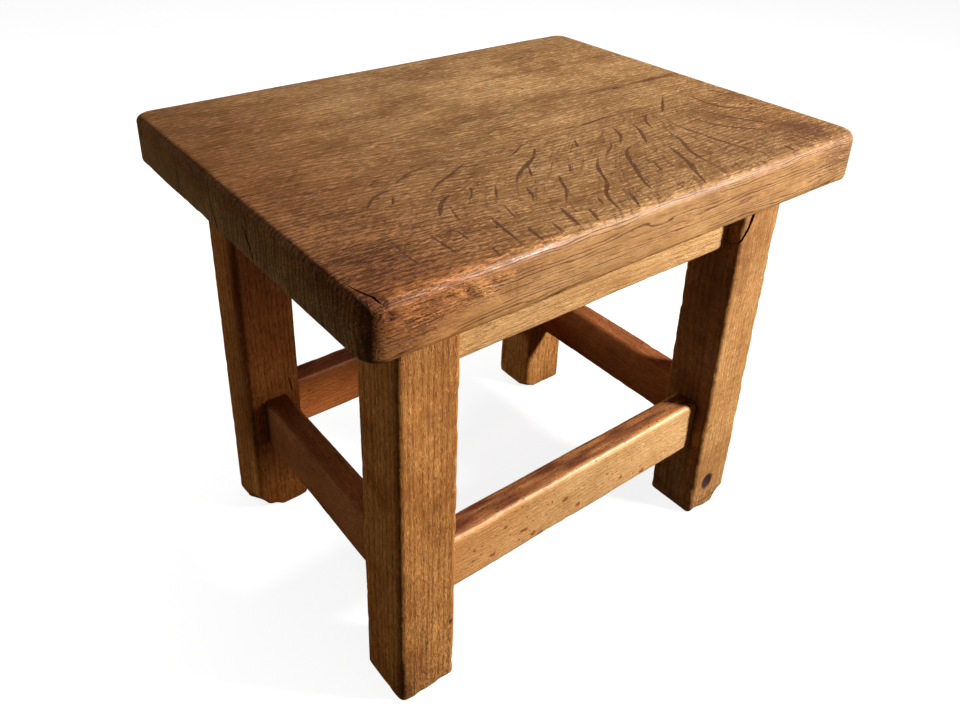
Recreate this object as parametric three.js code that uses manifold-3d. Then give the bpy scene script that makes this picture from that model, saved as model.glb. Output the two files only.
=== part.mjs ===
// A small four-legged milking stool in oak: a seat of two edge-joined boards on four square legs,
// held by four aprons under the seat and four stretchers near the floor.
// Millimetres, +Z up. The origin is on the floor under the middle of the seat.
// +X runs along the long edges of the seat, -Y is the front and -X is the left end.

import * as THREE from 'three';
import { mergeVertices } from 'three/addons/utils/BufferGeometryUtils.js';
import Module from 'manifold-3d';

// ---- Driving dimensions ----

const STOOL_HEIGHT = 278;
const SEAT_LENGTH = 330;
const SEAT_WIDTH = 257;
const SEAT_THICKNESS = 29;
const SEAT_CORNER_RADIUS = 12;
const SEAT_EDGE_ROUNDING = 6;

// The glued seam between the two seat boards runs slightly askew, because the boards taper.
const SEAM_Y_AT_LEFT_END = 12;
const SEAM_Y_AT_RIGHT_END = 6;

const LEG_SIDE = 36;
const LEG_ARRIS_RADIUS = 3.5;
const END_OVERHANG = 28;
const SIDE_OVERHANG = 24;

const RAIL_THICKNESS = 17;
const RAIL_ARRIS_RADIUS = 2;
const APRON_HEIGHT = 42;
const LONG_STRETCHER_HEIGHT = 37;
const SHORT_STRETCHER_HEIGHT = 35;
const LONG_STRETCHER_BOTTOM = 54;
const SHORT_STRETCHER_BOTTOM = 57;

const TENON_THICKNESS = 8;
const TENON_SHOULDER = 5;
const APRON_HAUNCH = 12;

const DOWEL_RADIUS = 4;
const DOWEL_CHAMFER = 1;
const SEAM_DOWEL_LENGTH = 40;
const SEAM_DOWEL_SPACING = 100;
const SEAT_DOWEL_IN_SEAT = 14;
const SEAT_DOWEL_IN_APRON = 20;
const SEAT_DOWEL_X = 60;
const SEAT_DOWEL_Y = 42;

// Clearance between pieces that touch or fit into each other.
const GAP = 0.3;

// ---- Derived places ----

const SEAT_UNDERSIDE = STOOL_HEIGHT - SEAT_THICKNESS;
const FRAME_TOP = SEAT_UNDERSIDE - GAP;
const LEG_X = SEAT_LENGTH / 2 - END_OVERHANG - LEG_SIDE / 2;
const LEG_Y = SEAT_WIDTH / 2 - SIDE_OVERHANG - LEG_SIDE / 2;
const APRON_BOTTOM = SEAT_UNDERSIDE - APRON_HEIGHT;

// Two tenons meet inside each leg in a mitre on the leg's axis. The outer side of a tenon
// reaches past the axis by half its thickness, and the inner side stops short by as much.
const TENON_REACH_OUTER = LEG_SIDE / 2 + TENON_THICKNESS / 2;
const TENON_REACH_INNER = LEG_SIDE / 2 - TENON_THICKNESS / 2;
const MITRE_GAP = GAP * Math.SQRT1_2;

// Number of flats round a dowel, and round the hole that it fits.
const DOWEL_FLATS = 16;
const ARRIS_SEGMENTS = 3;
const SEAT_CORNER_SEGMENTS = 5;

// ---- Wood colours ----

const SEAT_COLOUR = 0x9c6b38;
const LEG_COLOUR = 0xa06a33;
const APRON_COLOUR = 0xb27c3e;
const STRETCHER_COLOUR = 0xb88346;
const DOWEL_COLOUR = 0xc79a62;

// ---- Solid modelling ----

const wasm = await Module();
wasm.setup();

function toSolid(geometry) {
  const bare = geometry.index ? geometry.toNonIndexed() : geometry.clone();
  bare.deleteAttribute('normal');
  bare.deleteAttribute('uv');
  const merged = mergeVertices(bare, 1e-4);
  return new wasm.Manifold(new wasm.Mesh({
    numProp: 3,
    vertProperties: new Float32Array(merged.attributes.position.array),
    triVerts: new Uint32Array(merged.index.array),
  }));
}

function toGeometry(solid) {
  const mesh = solid.getMesh();
  const geometry = new THREE.BufferGeometry();
  geometry.setAttribute('position', new THREE.BufferAttribute(mesh.vertProperties, 3));
  geometry.setIndex(new THREE.BufferAttribute(mesh.triVerts, 1));
  geometry.computeVertexNormals();
  return geometry;
}

// A rectangle centred on the shape's origin, with its four corners rounded.
function roundedRectangle(width, height, radius) {
  const x = width / 2;
  const y = height / 2;
  const shape = new THREE.Shape();
  shape.moveTo(-x + radius, -y);
  shape.lineTo(x - radius, -y);
  shape.absarc(x - radius, -y + radius, radius, -Math.PI / 2, 0);
  shape.lineTo(x, y - radius);
  shape.absarc(x - radius, y - radius, radius, 0, Math.PI / 2);
  shape.lineTo(-x + radius, y);
  shape.absarc(-x + radius, y - radius, radius, Math.PI / 2, Math.PI);
  shape.lineTo(-x, -y + radius);
  shape.absarc(-x + radius, -y + radius, radius, Math.PI, Math.PI * 1.5);
  return shape;
}

function prism(points, bottom, top) {
  const shape = new THREE.Shape(points.map(([x, y]) => new THREE.Vector2(x, y)));
  const geometry = new THREE.ExtrudeGeometry(shape, { depth: top - bottom, bevelEnabled: false });
  return geometry.translate(0, 0, bottom);
}

function block(xLow, xHigh, yLow, yHigh, zLow, zHigh) {
  const geometry = new THREE.BoxGeometry(xHigh - xLow, yHigh - yLow, zHigh - zLow);
  return geometry.translate((xLow + xHigh) / 2, (yLow + yHigh) / 2, (zLow + zHigh) / 2);
}

// A dowel with chamfered ends, standing on z = 0.
function dowelGeometry(length) {
  const profile = [
    new THREE.Vector2(0, 0),
    new THREE.Vector2(DOWEL_RADIUS - DOWEL_CHAMFER, 0),
    new THREE.Vector2(DOWEL_RADIUS, DOWEL_CHAMFER),
    new THREE.Vector2(DOWEL_RADIUS, length - DOWEL_CHAMFER),
    new THREE.Vector2(DOWEL_RADIUS - DOWEL_CHAMFER, length),
    new THREE.Vector2(0, length),
  ];
  return new THREE.LatheGeometry(profile, DOWEL_FLATS).rotateX(Math.PI / 2);
}

// The hole for a dowel, standing on z = 0.
function dowelHole(length) {
  const radius = DOWEL_RADIUS + GAP;
  const geometry = new THREE.CylinderGeometry(radius, radius, length, DOWEL_FLATS);
  return geometry.rotateX(Math.PI / 2).translate(0, 0, length / 2);
}

// ---- Where the dowels go ----

const seamDowels = [
  { name: 'left', x: -SEAM_DOWEL_SPACING },
  { name: 'middle', x: 0 },
  { name: 'right', x: SEAM_DOWEL_SPACING },
];

const seatDowels = [
  { name: 'front_left', x: -SEAT_DOWEL_X, y: -LEG_Y },
  { name: 'front_right', x: SEAT_DOWEL_X, y: -LEG_Y },
  { name: 'back_left', x: -SEAT_DOWEL_X, y: LEG_Y },
  { name: 'back_right', x: SEAT_DOWEL_X, y: LEG_Y },
  { name: 'left_front', x: -LEG_X, y: -SEAT_DOWEL_Y },
  { name: 'left_back', x: -LEG_X, y: SEAT_DOWEL_Y },
  { name: 'right_front', x: LEG_X, y: -SEAT_DOWEL_Y },
  { name: 'right_back', x: LEG_X, y: SEAT_DOWEL_Y },
];

function seamY(x) {
  const share = x / SEAT_LENGTH + 0.5;
  return SEAM_Y_AT_LEFT_END + share * (SEAM_Y_AT_RIGHT_END - SEAM_Y_AT_LEFT_END);
}

// ---- Seat ----

// The whole seat with rounded corners and edges, before it is parted at the seam.
function seatBlank() {
  const outline = roundedRectangle(SEAT_LENGTH, SEAT_WIDTH, SEAT_CORNER_RADIUS);
  const geometry = new THREE.ExtrudeGeometry(outline, {
    depth: SEAT_THICKNESS - 2 * SEAT_EDGE_ROUNDING,
    bevelThickness: SEAT_EDGE_ROUNDING,
    bevelSize: SEAT_EDGE_ROUNDING,
    bevelOffset: -SEAT_EDGE_ROUNDING,
    bevelSegments: ARRIS_SEGMENTS,
    curveSegments: SEAT_CORNER_SEGMENTS,
  });
  return geometry.translate(0, 0, SEAT_UNDERSIDE + SEAT_EDGE_ROUNDING);
}

// One seat board: the blank on one side of the seam. side is -1 for the front, +1 for the back.
function seatBoardGeometry(side) {
  const reach = SEAT_LENGTH;
  const far = side * SEAT_WIDTH;
  const edge = side * GAP / 2;
  const corners = [
    [-reach, seamY(-reach) + edge],
    [reach, seamY(reach) + edge],
    [reach, far],
    [-reach, far],
  ];
  if (side < 0) {
    corners.reverse();
  }
  const half = prism(corners, SEAT_UNDERSIDE - 1, STOOL_HEIGHT + 1);
  let board = toSolid(seatBlank()).intersect(toSolid(half));
  for (const { x } of seamDowels) {
    const hole = dowelHole(SEAM_DOWEL_LENGTH + 2 * GAP).rotateX(-Math.PI / 2);
    hole.translate(x, seamY(x) - SEAM_DOWEL_LENGTH / 2 - GAP, STOOL_HEIGHT - SEAT_THICKNESS / 2);
    board = board.subtract(toSolid(hole));
  }
  for (const { x, y } of seatDowels) {
    const hole = dowelHole(2 * SEAT_DOWEL_IN_SEAT);
    hole.translate(x, y, SEAT_UNDERSIDE - SEAT_DOWEL_IN_SEAT);
    board = board.subtract(toSolid(hole));
  }
  return toGeometry(board);
}

// ---- Legs ----

// The cuts that take the two mitred tenons which meet in a leg, for the leg's inner sides
// towards +X and +Y. The origin is on the leg's axis at floor level.
function mortise(bottom, top) {
  const side = TENON_THICKNESS / 2 + GAP;
  const mouth = LEG_SIDE;
  return [
    block(-side, mouth, -side, side, bottom - GAP, top + GAP),
    block(-side, side, -side, mouth, bottom - GAP, top + GAP),
  ];
}

const MORTISES = [
  [LONG_STRETCHER_BOTTOM + TENON_SHOULDER, LONG_STRETCHER_BOTTOM + LONG_STRETCHER_HEIGHT - TENON_SHOULDER],
  [APRON_BOTTOM + TENON_SHOULDER, SEAT_UNDERSIDE - APRON_HAUNCH],
];

// A leg for the front left corner. The other corners turn it about its own axis.
function legGeometry() {
  const section = roundedRectangle(LEG_SIDE, LEG_SIDE, LEG_ARRIS_RADIUS);
  const post = new THREE.ExtrudeGeometry(section, {
    depth: FRAME_TOP,
    bevelEnabled: false,
    curveSegments: ARRIS_SEGMENTS,
  });
  let leg = toSolid(post);
  for (const [bottom, top] of MORTISES) {
    for (const cut of mortise(bottom, top)) {
      leg = leg.subtract(toSolid(cut));
    }
  }
  return toGeometry(leg);
}

// ---- Aprons and stretchers ----

// A rail along X with its outer face towards -Y, standing on z = 0 and centred between two legs
// that are 2 * legDistance apart on their axes. The tenon's heights are measured from z = 0.
function railSolid(legDistance, height, tenonBottom, tenonTop) {
  const length = 2 * (legDistance - LEG_SIDE / 2 - GAP);
  const section = roundedRectangle(RAIL_THICKNESS, height, RAIL_ARRIS_RADIUS);
  const body = new THREE.ExtrudeGeometry(section, {
    depth: length,
    bevelEnabled: false,
    curveSegments: ARRIS_SEGMENTS,
  });
  const alongX = new THREE.Matrix4().makeBasis(
    new THREE.Vector3(0, 1, 0),
    new THREE.Vector3(0, 0, 1),
    new THREE.Vector3(1, 0, 0),
  );
  body.applyMatrix4(alongX).translate(-length / 2, 0, height / 2);

  const shoulder = legDistance - LEG_SIDE / 2;
  const outer = shoulder + TENON_REACH_OUTER - MITRE_GAP;
  const inner = shoulder + TENON_REACH_INNER - MITRE_GAP;
  const side = TENON_THICKNESS / 2;
  const tenons = prism([[-outer, -side], [outer, -side], [inner, side], [-inner, side]], tenonBottom, tenonTop);
  return toSolid(body).add(toSolid(tenons));
}

function apronGeometry(legDistance, dowelDistance) {
  const height = APRON_HEIGHT - GAP;
  let apron = railSolid(legDistance, height, TENON_SHOULDER, APRON_HEIGHT - APRON_HAUNCH);
  for (const x of [-dowelDistance, dowelDistance]) {
    const hole = dowelHole(2 * SEAT_DOWEL_IN_APRON).translate(x, 0, APRON_HEIGHT - SEAT_DOWEL_IN_APRON);
    apron = apron.subtract(toSolid(hole));
  }
  return toGeometry(apron);
}

// The tenons of all stretchers are at one level, so a short stretcher's shoulders differ a little.
function stretcherGeometry(legDistance, bottom, height) {
  const [mortiseBottom, mortiseTop] = MORTISES[0];
  return toGeometry(railSolid(legDistance, height, mortiseBottom - bottom, mortiseTop - bottom));
}

// ---- Assembly ----

const stool = new THREE.Group();

function addPiece(parent, name, geometry, colour, roughness = 0.6) {
  const material = new THREE.MeshStandardMaterial({ color: colour, roughness, metalness: 0 });
  const mesh = new THREE.Mesh(geometry, material);
  mesh.name = name;
  parent.add(mesh);
  return mesh;
}

// The four sides of the stool: where the middle of a rail lies, and its turn about Z.
const sides = [
  { name: 'front', x: 0, y: -LEG_Y, turn: 0, isLong: true },
  { name: 'right', x: LEG_X, y: 0, turn: Math.PI / 2, isLong: false },
  { name: 'back', x: 0, y: LEG_Y, turn: Math.PI, isLong: true },
  { name: 'left', x: -LEG_X, y: 0, turn: -Math.PI / 2, isLong: false },
];

// The four corners: where a leg's axis lies, and its turn about it.
const corners = [
  { name: 'front_left', x: -LEG_X, y: -LEG_Y, turn: 0 },
  { name: 'front_right', x: LEG_X, y: -LEG_Y, turn: Math.PI / 2 },
  { name: 'back_right', x: LEG_X, y: LEG_Y, turn: Math.PI },
  { name: 'back_left', x: -LEG_X, y: LEG_Y, turn: -Math.PI / 2 },
];

addPiece(stool, 'seat_board_front', seatBoardGeometry(-1), SEAT_COLOUR);
addPiece(stool, 'seat_board_back', seatBoardGeometry(1), SEAT_COLOUR);

for (const { name, x } of seamDowels) {
  const dowel = addPiece(stool, `seam_dowel_${name}`, dowelGeometry(SEAM_DOWEL_LENGTH), DOWEL_COLOUR, 0.8);
  dowel.position.set(x, seamY(x) - SEAM_DOWEL_LENGTH / 2, STOOL_HEIGHT - SEAT_THICKNESS / 2);
  dowel.rotation.x = -Math.PI / 2;
}

for (const { name, x, y } of seatDowels) {
  const length = SEAT_DOWEL_IN_SEAT + SEAT_DOWEL_IN_APRON - 2 * GAP;
  const dowel = addPiece(stool, `seat_dowel_${name}`, dowelGeometry(length), DOWEL_COLOUR, 0.8);
  dowel.position.set(x, y, SEAT_UNDERSIDE - SEAT_DOWEL_IN_APRON + GAP);
}

for (const { name, x, y, turn } of corners) {
  const leg = addPiece(stool, `leg_${name}`, legGeometry(), LEG_COLOUR);
  leg.position.set(x, y, 0);
  leg.rotation.z = turn;
}

for (const { name, x, y, turn, isLong } of sides) {
  const side = new THREE.Group();
  side.position.set(x, y, 0);
  side.rotation.z = turn;
  stool.add(side);

  const legDistance = isLong ? LEG_X : LEG_Y;
  const dowelDistance = isLong ? SEAT_DOWEL_X : SEAT_DOWEL_Y;
  const apron = addPiece(side, `apron_${name}`, apronGeometry(legDistance, dowelDistance), APRON_COLOUR);
  apron.position.z = APRON_BOTTOM;

  const bottom = isLong ? LONG_STRETCHER_BOTTOM : SHORT_STRETCHER_BOTTOM;
  const height = isLong ? LONG_STRETCHER_HEIGHT : SHORT_STRETCHER_HEIGHT;
  const shape = stretcherGeometry(legDistance, bottom, height);
  const stretcher = addPiece(side, `stretcher_${name}`, shape, STRETCHER_COLOUR);
  stretcher.position.z = bottom;
}

export default stool;
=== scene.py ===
"""A worn oak milking stool: two seat boards, four legs, four aprons and four stretchers.

Everything is in metres in the CAD frame: +X along the seat's long edges, -Y the front, +Z up.
Shapes are worked out in millimetres, because wood is measured so, and scaled as meshes are made.
"""

import math
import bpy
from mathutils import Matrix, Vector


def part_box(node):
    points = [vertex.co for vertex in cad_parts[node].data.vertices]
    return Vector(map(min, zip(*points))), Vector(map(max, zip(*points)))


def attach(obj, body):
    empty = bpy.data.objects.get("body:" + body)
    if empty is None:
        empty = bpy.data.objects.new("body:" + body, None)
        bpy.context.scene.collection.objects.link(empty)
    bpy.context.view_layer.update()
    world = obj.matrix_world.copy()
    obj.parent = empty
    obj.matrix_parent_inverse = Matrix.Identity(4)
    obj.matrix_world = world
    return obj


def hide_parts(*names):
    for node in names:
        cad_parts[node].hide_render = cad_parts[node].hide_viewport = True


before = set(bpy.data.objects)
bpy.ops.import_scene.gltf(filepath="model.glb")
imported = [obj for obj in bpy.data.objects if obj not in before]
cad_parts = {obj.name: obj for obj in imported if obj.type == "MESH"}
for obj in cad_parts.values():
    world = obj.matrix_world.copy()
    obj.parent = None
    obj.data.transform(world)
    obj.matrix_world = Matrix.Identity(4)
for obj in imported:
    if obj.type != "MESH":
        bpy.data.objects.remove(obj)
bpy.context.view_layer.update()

from types import SimpleNamespace

import bpy
import numpy as np
from mathutils import Euler, Matrix, Vector

MM = 0.001

# ---- Sizes, all in millimetres ----

SEAT_CORNER_RADIUS = 12.0
SEAT_EDGE_ROUNDING = 6.0
SEAT_END_ROUNDING = 3.6
SEAT_UNDER_ROUNDING = 3.0
SEAM_EDGE_ROUNDING = 0.4
LEG_ARRIS = 3.4
FOOT_ROUNDING = 1.6
APRON_ARRIS = 2.2
STRETCHER_ARRIS = 3.4
TENON_THICKNESS = 8.0
TENON_SHOULDER = 5.0
APRON_HAUNCH = 12.0
GAP = 0.3

# Distances between the points of each mesh.
SEAT_SPACING = 1.0
LEG_SPACING = 1.2
RAIL_SPACING = 1.1
ROUNDING_LINES = 6

# ---- Smooth random values on a lattice, the same on every run ----

LATTICE_SIZE = 32
LATTICE = np.random.default_rng(11).uniform(-1, 1, (LATTICE_SIZE,) * 3)


def lattice_noise(points, size):
    """A smooth value from -1 to 1 at each point, with features of about that size."""
    scaled = np.asarray(points, float) / size
    cell = np.floor(scaled).astype(int)
    part = scaled - cell
    part = part * part * (3 - 2 * part)
    total = np.zeros(len(scaled))
    for dx in (0, 1):
        for dy in (0, 1):
            for dz in (0, 1):
                share = (
                    np.where(dx, part[:, 0], 1 - part[:, 0])
                    * np.where(dy, part[:, 1], 1 - part[:, 1])
                    * np.where(dz, part[:, 2], 1 - part[:, 2])
                )
                corner = (cell + (dx, dy, dz)) % LATTICE_SIZE
                total += share * LATTICE[corner[:, 0], corner[:, 1], corner[:, 2]]
    return total


def smoothstep(low, high, value):
    """0 at low, 1 at high, and smooth between them."""
    t = np.clip((value - low) / (high - low), 0, 1)
    return t * t * (3 - 2 * t)


# ---- Node helper ----


class Nodes:
    """Builds a material's node tree. Most methods return an output socket."""

    def __init__(self, name):
        self.material = bpy.data.materials.new(name)
        self.material.use_nodes = True
        self.tree = self.material.node_tree
        self.tree.nodes.clear()

    def node(self, kind, inputs=None, **settings):
        node = self.tree.nodes.new(kind)
        for key, value in settings.items():
            setattr(node, key, value)
        for key, value in (inputs or {}).items():
            socket = node.inputs[key]
            if isinstance(value, bpy.types.NodeSocket):
                self.tree.links.new(value, socket)
            else:
                socket.default_value = value
        return node

    def math(self, operation, *values, clamp=False):
        inputs = dict(enumerate(values))
        return self.node("ShaderNodeMath", inputs, operation=operation, use_clamp=clamp).outputs[0]

    def vector_math(self, operation, *values):
        inputs = dict(enumerate(values))
        return self.node("ShaderNodeVectorMath", inputs, operation=operation).outputs[0]

    def add(self, a, b):
        return self.math("ADD", a, b)

    def times(self, a, b):
        return self.math("MULTIPLY", a, b)

    def weighted(self, *terms, start=0.0):
        """start plus each (value, weight) term's product."""
        total = start
        for value, weight in terms:
            total = self.math("MULTIPLY_ADD", value, weight, total)
        return total

    def ramp(self, value, low, high, to_low=0.0, to_high=1.0):
        """value taken smoothly from low..high to to_low..to_high."""
        inputs = {"Value": value, "From Min": low, "From Max": high, "To Min": to_low, "To Max": to_high}
        return self.node("ShaderNodeMapRange", inputs, interpolation_type="SMOOTHSTEP").outputs[0]

    def vector(self, x, y, z):
        return self.node("ShaderNodeCombineXYZ", {0: x, 1: y, 2: z}).outputs[0]

    def scaled_place(self, x, y, z):
        """The point's place in the piece, scaled along each axis."""
        place = self.node("ShaderNodeTexCoord").outputs["Object"]
        return self.vector_math("MULTIPLY", place, (x, y, z))

    def noise(self, vector, detail=2.0, roughness=0.5):
        inputs = {"Vector": vector, "Scale": 1.0, "Detail": detail, "Roughness": roughness}
        return self.node("ShaderNodeTexNoise", inputs).outputs["Fac"]

    def noise_along(self, value, detail):
        inputs = {"W": value, "Scale": 1.0, "Detail": detail}
        return self.node("ShaderNodeTexNoise", inputs, noise_dimensions="1D").outputs["Fac"]

    def blend(self, factor, a, b, mode="MIX"):
        node = self.node("ShaderNodeMix", data_type="RGBA", blend_type=mode, clamp_factor=True)
        for name, value in (("Factor_Float", factor), ("A_Color", a), ("B_Color", b)):
            socket = next(s for s in node.inputs if s.identifier == name)
            if isinstance(value, bpy.types.NodeSocket):
                self.tree.links.new(value, socket)
            elif isinstance(value, tuple):
                socket.default_value = (*value, 1.0)
            else:
                socket.default_value = value
        return next(s for s in node.outputs if s.identifier == "Result_Color")

    def attribute(self, name):
        return self.node("ShaderNodeAttribute", attribute_name=name).outputs["Fac"]

    def bump(self, height, distance, strength):
        inputs = {"Height": height, "Distance": distance, "Strength": strength}
        return self.node("ShaderNodeBump", inputs).outputs[0]

    def finish(self, shader):
        """The material, with this shader on its surface."""
        self.node("ShaderNodeOutputMaterial", {"Surface": shader.outputs[0]})
        return self.material

    def principled(self, colour, roughness, normal, specular=0.5):
        inputs = {
            "Base Color": colour,
            "Roughness": roughness,
            "Normal": normal,
            "Specular IOR Level": specular,
        }
        return self.finish(self.node("ShaderNodeBsdfPrincipled", inputs))


# ---- Wood ----

# Two pieces whose seeds differ by 1 are cut this many millimetres apart in the noise.
SEED_STEP = 37.0
OAK_ROUGHNESS = 0.58
OAK_SPECULAR = 0.33
FLECK_COLOUR = (0.13, 0.043, 0.015)
# The tint of dirt, and of painted shade.
STAIN_AND_SHADE_TINT = (0.22, 0.10, 0.06)
WARM_TINT = (0.95, 0.66, 0.42)
END_GRAIN_TINT = (0.6, 0.65, 0.68)
# How much red, green and blue a worn patch, and a patch of painted light, gains.
WEAR_AND_LIGHT_GAIN = (0.40, 0.47, 0.58)
SMALL_FLECK_WIDTH = 2.0
SMALL_FLECK_LENGTH = 9.0

# What each oak piece can set for itself. Widths are in millimetres, and strengths run from 0 to about 1.
PLAIN_OAK = {
    "ring": 2.4,  # width of a year's growth
    "drift": 0.0,  # how far the rings move across, from one end to the other
    "fine_ring": 1.6,  # width between the fine dark lines
    "lines": 0.5,  # strength of the fine lines
    "fine_faces": "",  # faces that look along this axis have more fine lines than pores and dashes
    "pores": 0.6,
    # Glints are pale wood along the pores, and painted highlights of light off the torn fibres.
    "glints": 0.4,  # short pale dashes
    "specks": 0.2,
    "flakes": 0.0,  # pale flakes
    "curl": 0.0,  # ripples across the fibres
    "grit": 1.0,  # size of the pores and dashes
    "streaks": 1.0,  # contrast along the fibres
    "clouds": 0.5,  # contrast of the broad patches
    "relief": 1.0,
    "flecks": False,  # whether the ray flecks show
    "blot_colour": (0.05, 0.018, 0.016),
}


def brighter(colour, gain, lift):
    return tuple(min(1.0, share * gain + lift) for share in colour)


class Oak(Nodes):
    """Solid oak, cut from a log whose pith runs along grain through the point pith.

    grain is the axis that the fibres follow. pith is the log's centre in the two other axes, in
    millimetres. look holds what differs from PLAIN_OAK.
    """

    def __init__(self, name, grain, pith, seed, colours, **look):
        super().__init__(name)
        self.look = SimpleNamespace(**{**PLAIN_OAK, **look})
        self.pale, self.mid, self.dark = colours
        self.start = seed * SEED_STEP
        coordinates = self.node("ShaderNodeTexCoord").outputs
        place = self.node("ShaderNodeSeparateXYZ", {0: coordinates["Object"]}).outputs
        self.normal = self.node("ShaderNodeSeparateXYZ", {0: coordinates["Normal"]}).outputs
        order = {"X": (0, 1, 2), "Y": (1, 2, 0), "Z": (2, 0, 1)}[grain]
        places = [self.math("MULTIPLY_ADD", place[i], 1 / MM, self.start) for i in order]
        self.along, self.a, self.b = places

        grit = self.look.grit
        self.rough = self.attribute("rough")
        self.arris = self.attribute("arris")
        self.end_grain = self.facing(grain, 0.5, 0.9)
        self.fibre = self.stretched(20 * grit, 0.8 * grit, 1.7, 3.0, 0.62)
        self.strand = self.stretched(60, 2.2, 5.3)
        self.cloud = self.stretched(48, 24, 9.1, 3.0, 0.55)
        self.dapple = self.stretched(11, 6, 14.9, 3.0, 0.6)
        self.waver = self.stretched(95, 12, 8.7, 3.0)
        self.grow_rings(pith)
        self.draw_lines()
        self.draw_marks()

    def stretched(self, length, width, offset, detail=2.0, roughness=0.5):
        """Noise whose features are that long along the fibres and that wide across them."""
        along = self.math("MULTIPLY_ADD", self.along, 1 / length, offset)
        place = self.vector(along, self.times(self.a, 1 / width), self.times(self.b, 1 / width))
        return self.noise(place, detail, roughness)

    def facing(self, axis, low, high):
        """1 on faces that look along the axis, and 0 on those that look across it."""
        return self.ramp(self.math("ABSOLUTE", self.normal["XYZ".index(axis)]), low, high)

    def band(self, phase, rise, fall):
        """1 between the two parts of a cycle that rise and fall give, and 0 outside them."""
        return self.times(self.ramp(phase, *rise), self.ramp(phase, *fall, 1.0, 0.0))

    def grow_rings(self, pith):
        """Early and late wood of each year, in rings bent a little along the piece."""
        look = self.look
        slope = self.ramp(self.along, self.start - 165, self.start + 10, 0.0, look.drift)
        bend = self.math("MULTIPLY_ADD", self.stretched(120, 45, 3.1), 12.0, -6.0)
        from_pith_a = self.add(self.math("SUBTRACT", self.add(self.a, slope), pith[0] + self.start), bend)
        from_pith_b = self.add(self.math("SUBTRACT", self.b, pith[1] + self.start), bend)
        squares = self.add(self.times(from_pith_a, from_pith_a), self.times(from_pith_b, from_pith_b))
        rings = self.times(self.math("SQRT", squares), 1 / look.ring)
        year = self.noise_along(self.times(rings, 0.45), 1.0)
        phase = self.math("FRACT", self.add(rings, self.weighted((year, 1.1), (self.waver, 1.0))))
        self.early = self.band(phase, (0.0, 0.1), (0.2, 0.55))
        self.late = self.band(phase, (0.35, 0.6), (0.8, 1.0))

    def draw_lines(self):
        """Fine dark lines along the fibres. On fine faces they take the place of bolder marks."""
        look = self.look
        wander = self.weighted((self.stretched(30, 5, 6.1), 2.6), (self.waver, 5.0))
        across = self.math("MULTIPLY_ADD", self.b, 0.8, self.a)
        phase = self.math("FRACT", self.math("MULTIPLY_ADD", across, 1 / look.fine_ring, wander))
        line = self.band(phase, (0.0, 0.12), (0.16, 0.48))
        self.line = self.times(line, self.ramp(self.stretched(60, 2.2, 31.0), 0.34, 0.58))
        self.bold = 1.0
        if look.fine_faces:
            fine = self.facing(look.fine_faces, 0.5, 0.8)
            self.line = self.times(self.line, fine)
            self.bold = self.math("ADD", self.weighted((fine, -0.8), start=1.0), self.rough, clamp=True)
            self.early = self.times(self.early, self.bold)

    def draw_marks(self):
        """Pores, pale dashes, pale flakes, specks and pits."""
        grit = self.look.grit
        lift = self.weighted((self.early, 0.085), (self.rough, 0.07))
        short_pore = self.add(self.stretched(4.2 * grit, 0.75 * grit, 2.9, 1.0), lift)
        long_pore = self.add(self.stretched(11 * grit, 0.6 * grit, 12.3, 1.0), lift)
        long_pore = self.times(self.ramp(long_pore, 0.65, 0.71), 0.75)
        pore = self.math("MAXIMUM", self.ramp(short_pore, 0.635, 0.69), long_pore)
        self.pore = self.times(pore, self.bold)
        dash = self.weighted(
            (self.late, 0.09), (self.rough, 0.1), (self.dapple, 0.34), (self.cloud, 0.2),
            start=self.stretched(3.4 * grit, 0.75 * grit, 21.0, 2.0, 0.55),
        )
        self.glint = self.times(self.ramp(dash, 0.87, 0.94), self.bold)
        flake = self.weighted((self.cloud, 0.35), start=self.stretched(4.2, 2.0, 47.0, 3.0, 0.65))
        self.flake = self.ramp(flake, 0.74, 0.82)
        speck = self.weighted((self.rough, 0.03), start=self.stretched(3.0, 1.5, 25.7))
        self.speck = self.ramp(speck, 0.66, 0.7)
        self.pit = self.times(self.rough, self.ramp(self.stretched(1.9, 1.0, 17.7, 2.0, 0.6), 0.58, 0.65))

    def new_colour(self):
        """The colour of the wood before age and handling."""
        look = self.look
        tone = self.weighted(
            (self.cloud, look.clouds), (self.dapple, 0.4),
            (self.fibre, 0.5 * look.streaks), (self.strand, 0.35 * look.streaks),
        )
        middle = 0.5 * (look.clouds + 0.4 + 0.85 * look.streaks)
        ripple = self.stretched(4.5, 15, 41.0)
        marks = (
            (self.ramp(ripple, 0.5, 0.68), look.curl, self.pale),
            (self.ramp(ripple, 0.5, 0.34), look.curl * 0.5, self.dark),
            (self.ramp(tone, middle - 0.08, middle - 0.4), 0.4, self.dark),
            (self.early, self.weighted((self.end_grain, 0.2), start=0.16), self.dark),
            (self.line, look.lines, self.dark),
            (self.speck, look.specks, self.dark),
            # The pale dashes: pale wood, and painted highlights.
            (self.glint, look.glints, brighter(self.pale, 1.6, 0.04)),
            (self.flake, look.flakes, brighter(self.pale, 1.35, 0.03)),
            (self.pore, look.pores, self.dark),
            (self.pit, 0.6, self.dark),
        )
        colour = self.blend(self.ramp(tone, middle - 0.26, middle + 0.26), self.mid, self.pale)
        for mark, strength, mark_colour in marks:
            colour = self.blend(self.times(mark, strength), colour, mark_colour)
        return colour

    def aged(self, colour):
        """Age, handling and painted light: wear and painted light pale the wood, dirt and painted shade
        darken it, and the end grain is greyer.
        """
        stain_and_painted_light = self.attribute("tone")
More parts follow.
